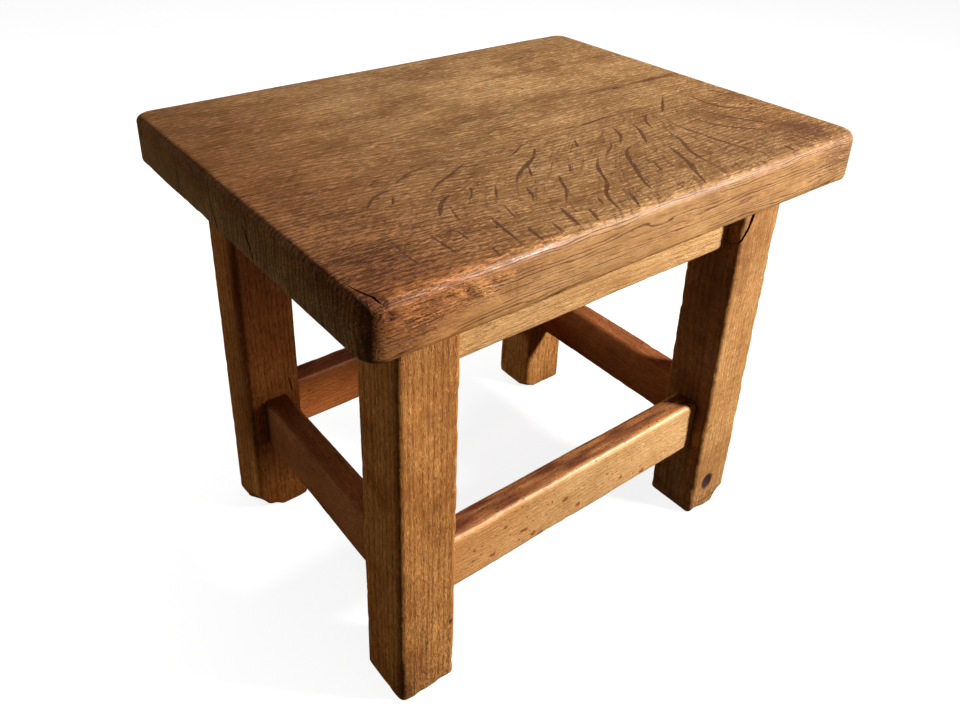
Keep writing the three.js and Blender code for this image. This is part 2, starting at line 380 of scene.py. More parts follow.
        # Below zero, tone is wear, and on the legs also painted light.
        worn = self.math("MAXIMUM", self.times(stain_and_painted_light, -1.0), 0.0)
        gain = self.vector(*[self.times(worn, share) for share in WEAR_AND_LIGHT_GAIN])
        colour = self.vector_math("MULTIPLY_ADD", colour, gain, colour)
        for amount, tint in (
            (self.math("MULTIPLY", stain_and_painted_light, 1.0, clamp=True), STAIN_AND_SHADE_TINT),
            (self.math("MULTIPLY", self.attribute("warm"), 1.0, clamp=True), WARM_TINT),
            (self.end_grain, END_GRAIN_TINT),
        ):
            colour = self.blend(amount, colour, self.blend(1.0, colour, tint, "MULTIPLY"))
        return self.blend(self.ramp(self.attribute("blot"), 0.25, 0.75), colour, self.look.blot_colour)

    def height(self):
        """The fine relief, which handling has smoothed along the arrises."""
        look = self.look
        height = self.weighted(
            (self.pore, -0.7), (self.pit, -1.3), (self.glint, 0.7),
            (self.line, -min(0.4, 1.2 * look.lines)),
            (self.fibre, 0.35 * look.streaks), (self.strand, 0.25 * look.streaks),
            (self.times(self.rough, self.dapple), 1.6),
        )
        return self.times(height, self.weighted((self.arris, -0.85), start=1.0))

    def fleck(self):
        """Ray flecks: large ones drawn by the mesh, and small ones that fan out between them."""
        ragged = self.stretched(2.6, 0.9, 4.4)
        edge = self.add(self.attribute("fleck"), self.weighted((ragged, 0.9), start=-0.5))
        large = self.times(self.ramp(edge, 0.25, -0.2), self.ramp(self.dapple, 0.3, 0.5, 0.75, 1.0))
        across = self.times(self.attribute("fan_across"), 1 / SMALL_FLECK_WIDTH)
        along = self.times(self.attribute("fan_along"), 1 / SMALL_FLECK_LENGTH)
        small = self.ramp(self.noise(self.vector(across, along, 0.5), 2.0, 0.55), 0.54, 0.66)
        small = self.times(self.times(small, self.attribute("fan_zone")), 0.6)
        return self.math("MAXIMUM", large, small)

    def gloss(self):
        """Roughness. The arrises are polished, and pores are dull.

        At a very shallow angle the oak is fully matt, so that a light beyond it doesn't glare.
        """
        roughness = self.weighted(
            (self.pore, 0.2), (self.dapple, 0.16), (self.arris, -0.38), (self.rough, 0.06),
            start=OAK_ROUGHNESS,
        )
        facing_away = self.node("ShaderNodeLayerWeight", {"Blend": 0.5}).outputs["Facing"]
        return self.math("MAXIMUM", roughness, self.ramp(facing_away, 0.68, 0.8))


def oak(name, grain, pith, seed, colours, **look):
    """The material of one piece of oak. Oak says what the values mean."""
    n = Oak(name, grain, pith, seed, colours, **look)
    colour = n.aged(n.new_colour())
    height = n.height()
    if n.look.flecks:
        fleck = n.fleck()
        colour = n.blend(n.times(fleck, 0.88), colour, FLECK_COLOUR)
        height = n.weighted((fleck, -0.25), start=height)
    normal = n.bump(height, 0.0003 * n.look.relief, 0.9)
    return n.principled(colour, n.gloss(), normal, OAK_SPECULAR)


def torn_wood():
    """The inside of a crack, gouge or worm hole: dusty wood, darkened further with painted shade."""
    n = Nodes("torn_wood")
    grime = n.noise(n.scaled_place(900, 900, 900), 4.0, 0.6)
    colour = n.blend(grime, (0.022, 0.007, 0.004), (0.08, 0.026, 0.012))
    return n.principled(colour, 0.9, n.bump(grime, 0.0004, 0.8), 0.12)


def beech():
    """Bare dowel wood, with the fine short flecks of beech."""
    n = Nodes("beech_dowel")
    fine = n.noise(n.scaled_place(700, 700, 120), 3.0, 0.6)
    speck = n.ramp(n.noise(n.scaled_place(1500, 1500, 350), 1.0), 0.6, 0.7)
    colour = n.blend(fine, (0.42, 0.27, 0.13), (0.62, 0.44, 0.25))
    colour = n.blend(n.times(speck, 0.5), colour, (0.25, 0.13, 0.06))
    return n.principled(colour, 0.7, n.bump(fine, 0.0001, 0.6))


TORN = torn_wood()
BEECH = beech()

# ---- Meshes ----


def make_object(name, points, faces, material):
    """An object from points in millimetres."""
    mesh = bpy.data.meshes.new(name)
    mesh.from_pydata((np.asarray(points) * MM).tolist(), [], faces)
    mesh.validate()
    mesh.materials.append(material)
    piece = bpy.data.objects.new(name, mesh)
    bpy.context.scene.collection.objects.link(piece)
    return piece


def positions(piece):
    """The piece's vertices, in millimetres."""
    flat = np.empty(len(piece.data.vertices) * 3)
    piece.data.vertices.foreach_get("co", flat)
    return flat.reshape(-1, 3) / MM


def store(piece, name, values):
    """Keeps a value for each vertex, which the material reads by name."""
    attribute = piece.data.attributes.new(name, "FLOAT", "POINT")
    attribute.data.foreach_set("value", np.asarray(values, np.float32))


def rounded_section(half_width, half_height, radius, inset=0.0, spacing=1.5, corner_steps=5):
    """A ring of points round a rectangle with rounded corners, anticlockwise from the lower right side.

    The number of points doesn't depend on inset, so rings with different insets can be joined.
    """
    sides = []
    for half in (half_height, half_width, half_height, half_width):
        sides.append(max(2, round(2 * (half - radius) / spacing)))
    w = half_width - inset
    h = half_height - inset
    r = max(radius - inset, 0.05)
    centres = [(w - r, -h + r), (w - r, h - r), (-w + r, h - r), (-w + r, -h + r)]
    ring = []
    for corner, (cx, cy) in enumerate(centres):
        start = math.radians(-90 + 90 * corner)
        for step in range(corner_steps + 1):
            angle = start + math.radians(90) * step / corner_steps
            ring.append((cx + r * math.cos(angle), cy + r * math.sin(angle)))
        end = ring[-1]
        nx, ny = centres[(corner + 1) % 4]
        angle = start + math.radians(90)
        target = (nx + r * math.cos(angle), ny + r * math.sin(angle))
        for step in range(1, sides[corner]):
            share = step / sides[corner]
            ring.append((end[0] + share * (target[0] - end[0]), end[1] + share * (target[1] - end[1])))
    return np.array(ring)


def join_rings(rings):
    """Points and faces of a closed skin over rings of equal length, with flat ends."""
    count = len(rings[0])
    points = np.concatenate(rings)
    faces = []
    for level in range(len(rings) - 1):
        low = level * count
        high = low + count
        for i in range(count):
            j = (i + 1) % count
            faces.append((low + i, low + j, high + j, high + i))
    faces.append(tuple(reversed(range(count))))
    faces.append(tuple(range(len(points) - count, len(points))))
    return points, faces


def even_steps(low, high, spacing):
    """Even steps from low to high, about spacing apart."""
    return np.linspace(low, high, max(2, round((high - low) / spacing) + 1))


def rounding_steps(radius, steps):
    """(inset, height) pairs up a rounding, from the flat end to the side."""
    angles = [math.radians(90) * i / steps for i in range(steps + 1)]
    return [(radius * (1 - math.sin(t)), radius * (1 - math.cos(t))) for t in angles]


# ---- Cutters for cracks, gouges, worm holes, mortises and dowel holes ----


def crack(route, outward, width, depth, seed=1, wander=0.22):
    """A V-shaped groove along a route on a face. outward is the face's normal.

    route lists the points that the crack passes. It wanders a little between them and tapers
    to nothing at both ends.
    """
    rng = np.random.default_rng(seed)
    route = [Vector(p) for p in route]
    outward = Vector(outward).normalized()
    path = []
    for start, end in zip(route, route[1:]):
        steps = max(1, round((end - start).length / 2.0))
        path += [start.lerp(end, i / steps) for i in range(steps)]
    path.append(route[-1])
    rings = []
    last = len(path) - 1
    for i, point in enumerate(path):
        tangent = (path[min(i + 1, last)] - path[max(i - 1, 0)]).normalized()
        across = outward.cross(tangent).normalized()
        swell = math.sin(math.pi * (0.06 + 0.88 * i / last)) ** 0.6
        shift = rng.uniform(-wander, wander) if 0 < i < last else 0.0
        half = 0.5 * width * swell * (1 + wander * rng.uniform(-1.2, 0.8))
        centre = point + across * shift
        clear = outward * 2.5
        ring = [
            centre + clear - across * half,
            centre - outward * depth * swell,
            centre + clear + across * half,
        ]
        rings.append(np.array([tuple(p) for p in ring]))
    return join_rings(rings)


def scoop(centre, radii, turn=(0, 0, 0), seed=1, rough=0.12):
    """A lumpy ellipsoid. turn is in degrees about X, Y and Z."""
    rows, columns = 12, 20
    turn = Euler([math.radians(t) for t in turn]).to_matrix()
    rings = []
    for row in range(rows + 1):
        polar = math.radians(4) + math.radians(172) * row / rows
        ring = []
        for column in range(columns):
            angle = math.tau * column / columns
            ring.append((
                math.sin(polar) * math.cos(angle),
                math.sin(polar) * math.sin(angle),
                -math.cos(polar),
            ))
        rings.append(np.array(ring))
    points, faces = join_rings(rings)
    points = points * (1 + rough * lattice_noise(points * 10 + seed * 50, 7.0))[:, None]
    points = points * np.array(radii) @ np.array(turn).T + np.array(centre)
    return points, faces


def box_cutter(low, high):
    """A box between two corners."""
    (x0, y0, z0), (x1, y1, z1) = low, high
    ring = np.array([(x0, y0), (x1, y0), (x1, y1), (x0, y1)])
    return join_rings([np.column_stack([ring, np.full(4, z)]) for z in (z0, z1)])


def hole_cutter(start, end, radius, sides=24):
    """A round hole from start to end."""
    start, end = Vector(start), Vector(end)
    turn = (end - start).to_track_quat("Z", "Y").to_matrix()
    rings = []
    for centre in (start, end):
        ring = []
        for i in range(sides):
            angle = math.tau * i / sides
            offset = Vector((radius * math.cos(angle), radius * math.sin(angle), 0))
            ring.append(tuple(centre + turn @ offset))
        rings.append(np.array(ring))
    return join_rings(rings)


def joined(cutters):
    """Points and faces of several skins as one mesh."""
    points = []
    faces = []
    for part_points, part_faces in cutters:
        start = sum(len(p) for p in points)
        points.append(part_points)
        faces += [tuple(start + i for i in face) for face in part_faces]
    return np.concatenate(points), faces


def carve(piece, *groups):
    """Cuts groups of cutters out of the piece. The cut faces are torn wood.

    The cutters in one group don't overlap each other.
    """
    cutters = []
    for group in groups:
        points, faces = joined(group)
        cutter = make_object("cutter", points, faces, TORN)
        cutters.append(cutter)
        modifier = piece.modifiers.new("cut", "BOOLEAN")
        modifier.operation = "DIFFERENCE"
        modifier.solver = "EXACT"
        modifier.material_mode = "TRANSFER"
        modifier.object = cutter
    graph = bpy.context.evaluated_depsgraph_get()
    carved = bpy.data.meshes.new_from_object(piece.evaluated_get(graph))
    piece.modifiers.clear()
    old = piece.data
    name = old.name
    piece.data = carved
    bpy.data.meshes.remove(old)
    carved.name = name
    for cutter in cutters:
        bpy.data.objects.remove(cutter)


def pressed(points, dents):
    """Presses dents into a skin: (centre, radii, push) each, where push is the deepest move."""
    moved = points.copy()
    for centre, radii, push in dents:
        away = np.linalg.norm((points - np.array(centre)) / np.array(radii), axis=1)
        near = away < 1
        depth = (1 - away[near] ** 2) ** 1.5
        moved[near] += depth[:, None] * np.array(push)
    return moved


def settle(piece, node):
    """Smooth shading, and the piece's place in the frame."""
    mesh = piece.data
    mesh.shade_smooth()
    mesh.set_sharp_from_angle(angle=math.radians(38))
    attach(piece, "root")
    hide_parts(node)


def millimetres(node):
    """The low and high corners of a CAD node."""
    low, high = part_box(node)
    return np.array(low) / MM, np.array(high) / MM


LEFT = (-1, 0, 0)
FRONT = (0, -1, 0)
UP = (0, 0, 1)

# ---- Seat boards ----

front_low, front_high = millimetres("seat_board_front")
back_low, back_high = millimetres("seat_board_back")
SEAT_X = front_high[0]
SEAT_Y = back_high[1]
SEAT_TOP = front_high[2]
SEAT_BOTTOM = front_low[2]
# The seam runs askew: the front board is widest at the left end, the back board at the right.
SEAM_LEFT = front_high[1] + GAP / 2
SEAM_RIGHT = back_low[1] - GAP / 2
SEAM_GAP = 0.16

SEAM_DOWELS_X = (-100.0, 0.0, 100.0)
SEAT_DOWEL_X = 60.0
SEAT_DOWEL_Y = 42.0
DOWEL_HOLE = 4.3
SEAM_DOWEL_DEPTH = 20.3
SEAT_DOWEL_DEPTH = 14.0


def seam_y(x):
    """Where the seam runs."""
    return SEAM_LEFT + (x + SEAT_X) / (2 * SEAT_X) * (SEAM_RIGHT - SEAM_LEFT)


def graded(low, high, low_round, high_round):
    """Grid lines from low to high, closer together in the roundings at each end."""
    crowd = [1 - math.cos(math.radians(90) * i / ROUNDING_LINES) for i in range(ROUNDING_LINES)]
    start = [low + low_round * step for step in crowd]
    end = [high - high_round * step for step in reversed(crowd)]
    middle = even_steps(low + low_round, high - high_round, SEAT_SPACING)
    return np.array(start + middle.tolist() + end)


def drop(distance, radius):
    """How far a rounding falls at a distance in from the edge."""
    inside = np.clip(radius - distance, 0, radius)
    return radius - np.sqrt(np.maximum(radius * radius - inside * inside, 0))


def board_plan(side):
    """Where a board's grid lines cross, and how far its top and its underside round off there.

    side is -1 for the front board and +1 for the back board. The two outer corners are drawn in
    to their plan radius.
    """
    xs = graded(-SEAT_X, SEAT_X, SEAT_EDGE_ROUNDING, SEAT_EDGE_ROUNDING)
    # v runs from 0 at the seam to 1 at the outer edge.
    width = SEAT_Y - side * (SEAM_LEFT + SEAM_RIGHT) / 2
    vs = graded(0, width, SEAM_EDGE_ROUNDING, SEAT_EDGE_ROUNDING) / width
    x, v = np.meshgrid(xs, vs, indexing="ij")
    seam = seam_y(x) + side * SEAM_GAP / 2
    y = seam + v * (side * SEAT_Y - seam)

    radius = SEAT_CORNER_RADIUS
    a = np.clip((np.abs(x) - (SEAT_X - radius)) / radius, 0, 1)
    b = np.clip((side * y - (SEAT_Y - radius)) / radius, 0, 1)
    in_corner = (a > 0) & (b > 0)
    round_x = a * np.sqrt(1 - b * b / 2)
    round_y = b * np.sqrt(1 - a * a / 2)
    plan_x = np.where(a > 0, np.sign(x) * (SEAT_X - radius + radius * round_x), x)
    plan_y = np.where(b > 0, side * (SEAT_Y - radius + radius * round_y), y)

    to_end = SEAT_X - np.abs(plan_x)
    to_side = SEAT_Y - side * plan_y
    to_corner = radius * (1 - np.hypot(round_x, round_y))
    to_edge = np.where(in_corner, to_corner, np.minimum(to_end, to_side))
    turned = round_x ** 2 / np.maximum(round_x ** 2 + round_y ** 2, 1e-6)
    end_share = np.where(in_corner, turned, to_end < to_side)
    rounding = SEAT_EDGE_ROUNDING + end_share * (SEAT_END_ROUNDING - SEAT_EDGE_ROUNDING)
    to_seam = side * (plan_y - seam_y(plan_x)) - SEAM_GAP / 2
    seam_fall = drop(to_seam, SEAM_EDGE_ROUNDING)
    fall = drop(to_edge, rounding) + seam_fall
    rise = drop(to_edge, SEAT_UNDER_ROUNDING) + seam_fall
    return plan_x, plan_y, fall, rise


def board_rim(nx, ny):
    """The grid places once round a board's edge."""
    return (
        [(i, 0) for i in range(nx - 1)]
        + [(nx - 1, j) for j in range(ny - 1)]
        + [(i, ny - 1) for i in range(nx - 1, 0, -1)]
        + [(0, j) for j in range(ny - 1, 0, -1)]
    )


def board_faces(nx, ny, rim, levels):
    """Faces over a board's points, which are those of the top, the underside and the sides."""
    sheet = nx * ny
    faces = []
    for i in range(nx - 1):
        for j in range(ny - 1):
            quad = (i * ny + j, (i + 1) * ny + j, (i + 1) * ny + j + 1, i * ny + j + 1)
            faces.append(quad)
            faces.append(tuple(sheet + corner for corner in reversed(quad)))
    top_loop = [i * ny + j for i, j in rim]
    loops = [top_loop]
    for level in range(levels - 1):
        start = 2 * sheet + level * len(rim)
        loops.append(range(start, start + len(rim)))
    loops.append([sheet + corner for corner in top_loop])
    for upper, lower in zip(loops, loops[1:]):
        for k in range(len(rim)):
            m = (k + 1) % len(rim)
            faces.append((upper[m], upper[k], lower[k], lower[m]))
    return faces


def seat_board(node, side, material):
    """One seat board, worn and dented."""
    plan_x, plan_y, fall, rise = board_plan(side)
    top = np.stack([plan_x, plan_y, SEAT_TOP - fall], -1)
    bottom = np.stack([plan_x, plan_y, SEAT_BOTTOM + rise], -1)
    nx, ny = plan_x.shape
    rim = board_rim(nx, ny)
    rim_top = np.array([top[place] for place in rim])
    rim_bottom = np.array([bottom[place] for place in rim])
    levels = max(2, round((SEAT_TOP - SEAT_BOTTOM - 2 * SEAT_EDGE_ROUNDING) / SEAT_SPACING))
    points = [top.reshape(-1, 3), bottom.reshape(-1, 3)]
    for level in range(1, levels):
        points.append(rim_top + (rim_bottom - rim_top) * level / levels)
    faces = board_faces(nx, ny, rim, levels)
    if side < 0:
        faces = [tuple(reversed(face)) for face in faces]
    points = pressed(seat_wear(np.concatenate(points)), SEAT_DENTS)
    return make_object(f"{node}_wood", points, faces, material)


def seat_wear(points):
    """Unevenness of the seat: a hollow worn along the top, and dents along the outer arrises."""
    x, y, z = points.T
    middle = (SEAT_TOP + SEAT_BOTTOM) / 2
    upper = smoothstep(middle, SEAT_TOP, z)
    waves = lattice_noise(points, 38.0) * 0.22 + lattice_noise(points + 300, 13.0) * 0.1
    hollow = np.exp(-((x / 110) ** 2) - (y / 75) ** 2) * 0.5
    edge = np.minimum(SEAT_X - np.abs(x), SEAT_Y - np.abs(y))
    near_edge = smoothstep(9, 0, edge)
    dents = np.clip(lattice_noise(points + 90, 9.0) - 0.15, 0, 1) * 0.7
    dents += np.clip(lattice_noise(points + 40, 4.0) - 0.35, 0, 1) * 0.4
    sunk = points.copy()
    sunk[:, 2] -= np.where(z > middle, 1, -1) * upper * (0.35 + waves * 0.6 + hollow * 0.4)
    inward = near_edge * (0.3 + lattice_noise(points + 700, 30.0) * 0.25 + dents * 0.8)
    end_on = (SEAT_X - np.abs(x)) < (SEAT_Y - np.abs(y))
    sunk[:, 0] -= np.where(end_on, np.sign(x) * inward, 0)
    sunk[:, 1] -= np.where(end_on, 0, np.sign(y) * inward)
    return sunk


# Ray flecks on the quarter-sawn front board: (width, points across the board).
RAY_FLECKS = [
    (1.5, [(-48, -36), (-66, -46), (-80, -53), (-89, -61)]),
    (3.2, [(-81, -65), (-89, -70), (-98, -81)]),
    (1.3, [(-67, -62), (-71, -69), (-77, -75)]),
    (1.0, [(-82, -36), (-92, -38)]),
    (1.5, [(-56, -68), (-62, -76), (-66, -82)]),
    (2.6, [(-9, -43), (-19, -53), (-33, -61), (-40, -66), (-48, -74)]),
    (1.2, [(-3, -33), (-14, -37), (-22, -42), (-31, -44)]),
    (1.2, [(31, -31), (24, -31)]),
    (2.0, [(-46, -79), (-49, -87), (-53, -92)]),
    (2.3, [(-23, -77), (-27, -83), (-32, -92), (-40, -100)]),
    (2.4, [(17, -46), (11, -55)]),
    (1.2, [(-8, -69), (-17, -79)]),
    (2.3, [(10, -71), (0, -81), (-9, -96), (-20, -107), (-27, -123)]),
    (1.8, [(-80, -94), (-83, -110), (-85, -123)]),
    (1.5, [(-67, -88), (-69, -94), (-71, -101)]),
    (2.3, [(-72, -110), (-74, -116), (-75, -124)]),
    (1.6, [(-61, -114), (-63, -123)]),
    (2.0, [(-47, -103), (-50, -113), (-53, -124)]),
    (2.0, [(-37, -112), (-42, -124)]),
    (1.8, [(-25, -106), (-29, -114)]),
    (1.4, [(-97, -117), (-99, -124)]),
    (1.2, [(-88, -74), (-92, -85), (-94, -91)]),
    (1.3, [(-112, -93), (-112, -112)]),
    (1.9, [(116, -21), (105, -31), (91, -43)]),
    (1.8, [(83, -38), (73, -46), (66, -58)]),
    (2.5, [(62, -46), (57, -57), (46, -72)]),
    (2.0, [(49, -43), (43, -55), (34, -64)]),
    (1.6, [(32, -58), (27, -64), (17, -70)]),
    (2.6, [(37, -69), (27, -75), (16, -91), (6, -107), (3, -115)]),
    (1.6, [(31, -90), (28, -95), (24, -102)]),
    (1.9, [(86, -50), (82, -60), (82, -76), (84, -100), (88, -114), (85, -124)]),
    (2.0, [(103, -51), (100, -66), (104, -78), (125, -102)]),
    (1.9, [(115, -52), (120, -70), (130, -87), (142, -90)]),
    (2.1, [(130, -28), (129, -50), (136, -62), (157, -74)]),
    (3.2, [(68, -72), (65, -80), (57, -93), (53, -107)]),
    (2.9, [(53, -81), (45, -100), (36, -115), (31, -124)]),
    (2.0, [(148, -28), (152, -34), (154, -46)]),
    (1.8, [(122, -106), (125, -110), (126, -123)]),
    (2.0, [(107, -116), (105, -125)]),
    (2.5, [(-9, -111), (-16, -124)]),
    (1.5, [(-98, -44), (-112, -48), (-122, -58)]),
    (1.3, [(-66, -30), (-84, -34), (-96, -41)]),
    (1.4, [(-104, -52), (-109, -60)]),
    (1.2, [(-128, -84), (-130, -104), (-129, -118)]),
    (1.2, [(-100, -96), (-101, -108)]),
    (1.5, [(64, -28), (46, -31), (28, -33)]),
    (1.4, [(-28, -60), (-36, -72)]),
]


def smooth_route(stops, steps=4):
    """A Catmull-Rom curve through the stops."""
    stops = np.array(stops, float)
    ends = np.concatenate([[2 * stops[0] - stops[1]], stops, [2 * stops[-1] - stops[-2]]])
    route = []
    for i in range(1, len(ends) - 2):
        p0, p1, p2, p3 = ends[i - 1:i + 3]
        for t in np.arange(steps) / steps:
            bend = 2 * p0 - 5 * p1 + 4 * p2 - p3
            twist = 3 * p1 - p0 - 3 * p2 + p3
            route.append(0.5 * (2 * p1 + (p2 - p0) * t + bend * t * t + twist * t ** 3))
    route.append(stops[-1])
    return np.array(route)


# Further than this from a fleck, its distance doesn't matter.
FLECK_REACH = 3.0


def route_gap(spots, route, width):
    """How far each spot lies outside one ragged fleck, which tapers to both ends of its route."""
    swing = lattice_noise(np.column_stack([spots, np.full(len(spots), width * 40)]), 5.0)
    lengths = np.hypot(*(route[1:] - route[:-1]).T)
    total = lengths.sum()
    done = 0.0
    gap = np.full(len(spots), FLECK_REACH)
    for start, end, length in zip(route, route[1:], lengths):
        run = end - start
        t = np.clip((spots - start) @ run / (run @ run), 0, 1)
        away = np.hypot(*(spots - start - t[:, None] * run).T)
        share = (done + t * length) / total
        taper = np.sin(np.pi * (0.03 + 0.94 * share)) ** 0.7
        half = 0.5 * (0.25 + 0.76 * width) * taper * (1 + 0.45 * swing)
        gap = np.minimum(gap, away - half)
        done += length
    return gap


def fleck_distance(points):
    """Distance in millimetres to the nearest fleck's edge, below zero inside it."""
    nearest = np.full(len(points), FLECK_REACH)
    on_top = points[:, 2] > SEAT_TOP - SEAT_EDGE_ROUNDING * 0.5
    flat = points[on_top][:, :2]
    best = np.full(len(flat), FLECK_REACH)
    for width, stops in RAY_FLECKS:
        route = smooth_route(stops)
        close = ((flat > route.min(0) - 5) & (flat < route.max(0) + 5)).all(1)
        best[close] = np.minimum(best[close], route_gap(flat[close], route, width))
    nearest[on_top] = best
    return nearest


def fleck_lean():
    """Places along the large flecks, and how far x moves there for each millimetre of y."""
    places = []
    leans = []
    for _, stops in RAY_FLECKS:
        for start, end in zip(stops, stops[1:]):
            places.append(((start[0] + end[0]) / 2, (start[1] + end[1]) / 2))
            leans.append(np.clip((start[0] - end[0]) / (start[1] - end[1] + 1e-6), -2.5, 2.5))
    return np.array(places), np.array(leans)


# The fan is worked out on a grid, by walking from each spot to the line y = FAN_MIDDLE_Y.
FAN_STEP = 6.0
FAN_STRIDES = 24
FAN_MIDDLE_Y = -77.0
FAN_BLUR = 13.0


def fan_coordinates(points):
    """Coordinates across and along the fan of flecks, for the small flecks between the large.

    A line with one value of the first runs the way that its nearest large flecks run.
    """
    places, leans = fleck_lean()
    step = FAN_STEP
    xs = np.arange(-SEAT_X, SEAT_X + step, step)
    ys = np.arange(-SEAT_Y, 20 + step, step)
    spots = np.stack(np.meshgrid(xs, ys, indexing="ij"), -1).reshape(-1, 2)
    walk = spots.copy()
    stride = (FAN_MIDDLE_Y - spots[:, 1]) / FAN_STRIDES
    for _ in range(FAN_STRIDES):
        gap = ((walk[:, None] - places[None]) ** 2).sum(-1)
        weight = np.exp(-gap / (2 * FAN_BLUR ** 2)) + 1e-4 / (gap + 100)
        lean = (weight * leans).sum(1) / weight.sum(1)
        walk += np.column_stack([lean * stride, stride])
    across = walk[:, 0].reshape(len(xs), len(ys))
    fx = np.clip((points[:, 0] - xs[0]) / step, 0, len(xs) - 1.001)
    fy = np.clip((points[:, 1] - ys[0]) / step, 0, len(ys) - 1.001)
    i, j = fx.astype(int), fy.astype(int)
    tx, ty = fx - i, fy - j
    near = across[i, j] * (1 - ty) + across[i, j + 1] * ty
    far = across[i + 1, j] * (1 - ty) + across[i + 1, j + 1] * ty
    return near * (1 - tx) + far * tx, points[:, 1]


def soft_patches(points, patches):
    """Sum of soft oval patches, (centre, radii, amount) each."""
    total = np.zeros(len(points))
    for centre, radii, amount in patches:
        reach = ((points - np.array(centre)) / np.array(radii)) ** 2
        total += amount * np.exp(-reach.sum(1))
    return total


# ---- Legs and rails ----


def block_arris(points, low, high, reach):
    """1 on the arrises of a block and 0 further in than reach."""
    gaps = np.concatenate([np.abs(points - low), np.abs(points - high)], 1)
    gaps.sort(axis=1)
    return smoothstep(reach, 0, gaps[:, 1])


def dented(points, axis_points, low, high, depth=0.55, reach=6.0):
    """Presses the arrises of a long piece in here and there, towards its axis."""
    arris = block_arris(points, low, high, reach)
    dents = np.clip(lattice_noise(points + 55, 7.0) - 0.1, 0, 1) * depth * 1.6
    dents += np.clip(lattice_noise(points + 155, 3.2) - 0.4, 0, 1) * depth * 1.4
    swell = lattice_noise(points + 250, 26.0) * 0.22 + 0.18
    inward = axis_points - points
    inward /= np.maximum(np.linalg.norm(inward, axis=1), 1e-6)[:, None]
    return points + inward * (arris * dents + swell)[:, None]


def mortise_cutters(centre, half_side):
    """Cutters for the tenons that meet in a leg: those along X in one group, those along Y in another."""
    inner = -np.sign(centre[:2])
    side = TENON_THICKNESS / 2 + GAP
    groups = ([], [])
    for bottom, top in MORTISE_LEVELS:
        for along, group in enumerate(groups):
            ends = sorted((-side * inner[along], (half_side + MORTISE_CLEAR) * inner[along]))
            low = centre.copy()
            high = centre.copy()
            low[along] += ends[0]
            high[along] += ends[1]
            low[1 - along] -= side
            high[1 - along] += side
            low[2] = bottom - GAP
            high[2] = top + GAP
            group.append(box_cutter(low, high))
    return groups


def leg(node, material, cracks, dents):
    """A square leg with worn arrises, mortised for its four rails. Gives its corners too."""
    low, high = millimetres(node)
    centre = (low + high) / 2
    half = (high - low) / 2
    levels = rounding_steps(FOOT_ROUNDING, 4)
    levels += [(0.0, z) for z in even_steps(FOOT_ROUNDING, high[2], LEG_SPACING)[1:]]
    skins = []
    for inset, z in levels:
        ring = rounded_section(half[0], half[1], LEG_ARRIS, inset, LEG_SPACING)
        skins.append(np.column_stack([ring + centre[:2], np.full(len(ring), z)]))
    points, faces = join_rings(skins)
    axis_points = np.column_stack([np.tile(centre[:2], (len(points), 1)), points[:, 2]])
    points = dented(points, axis_points, low, high)
    points[:, 2] = np.clip(points[:, 2], 0, high[2])
    points = pressed(points, dents)
    points[:, 2] = np.clip(points[:, 2], 0, high[2])
    piece = make_object(f"{node}_wood", points, faces, material)
    groups = [*mortise_cutters(centre, half[0]), cracks]
    carve(piece, *[group for group in groups if group])
    return piece, low, high


def rail_rings(length, half, tenon_middle, tenon_height, outward, arris):
    """Rings along a rail, about its centre, with a mitred tenon at each end.

    half is the body's half thickness and half height. outward is +1 or -1, the side of the rail
    that faces away from the stool, where the tenons are longest.
    """
    reach = length / 2
    shoulder = reach - TENON_REACH
    body = rounded_section(half[0], half[1], arris, 0.0, RAIL_SPACING)
    tenon = np.clip(body / np.array(half) * TENON_SQUARENESS, -1, 1)
    tenon = tenon * np.array((TENON_THICKNESS / 2, tenon_height / 2))
    tenon[:, 1] += tenon_middle

    def ring_at(place, section):
        return np.column_stack([np.full(len(section), place), section])

    ends = []
    for end in (-1, 1):
        mitre = reach - (TENON_THICKNESS / 2 - outward * tenon[:, 0])
        tip = np.column_stack([end * mitre, tenon])
        ends.append([tip, ring_at(end * shoulder, tenon), ring_at(end * shoulder, body)])
    run = even_steps(-shoulder, shoulder, RAIL_SPACING)[1:-1]
    return ends[0] + [ring_at(place, body) for place in run] + ends[1][::-1]


def rail(node, material, tenon_levels, arris, cutters=()):
    """An apron or a stretcher. Gives the corners of its body too, drawn on into the legs."""
    low, high = millimetres(node)
    size = high - low
    lengthwise = int(size[1] > size[0])
    across = 1 - lengthwise
    centre = (low + high) / 2
    bottom, top = tenon_levels
    rings = rail_rings(
        size[lengthwise], (size[across] / 2, size[2] / 2),
        (bottom + top) / 2 - centre[2], top - bottom, np.sign(centre[across]), arris,
    )
    points, faces = join_rings(rings)
    if lengthwise:
        points = points[:, (1, 0, 2)]
        faces = [tuple(reversed(face)) for face in faces]
    points = points + centre

    shoulder = size[lengthwise] / 2 - TENON_REACH
    body_low = low.copy()
    body_high = high.copy()
    body_low[lengthwise] = centre[lengthwise] - shoulder - 40
    body_high[lengthwise] = centre[lengthwise] + shoulder + 40
    on_body = np.abs(points[:, lengthwise] - centre[lengthwise]) <= shoulder + 0.01
    axis_points = points.copy()
    axis_points[:, across] = centre[across]
    axis_points[:, 2] = centre[2]
    worn = dented(points, axis_points, body_low, body_high, depth=0.4, reach=4.0)
    points = np.where(on_body[:, None], worn, points)
    piece = make_object(f"{node}_wood", points, faces, material)
    if cutters:
        carve(piece, cutters)
    return piece, body_low, body_high


stretcher_low, stretcher_high = millimetres("stretcher_front")
apron_low, apron_high = millimetres("apron_front")
leg_low, leg_high = millimetres("leg_front_left")
LEG_SIDE = leg_high[0] - leg_low[0]
LEG_X = (leg_low[0] + leg_high[0]) / -2
LEG_Y = (leg_low[1] + leg_high[1]) / -2
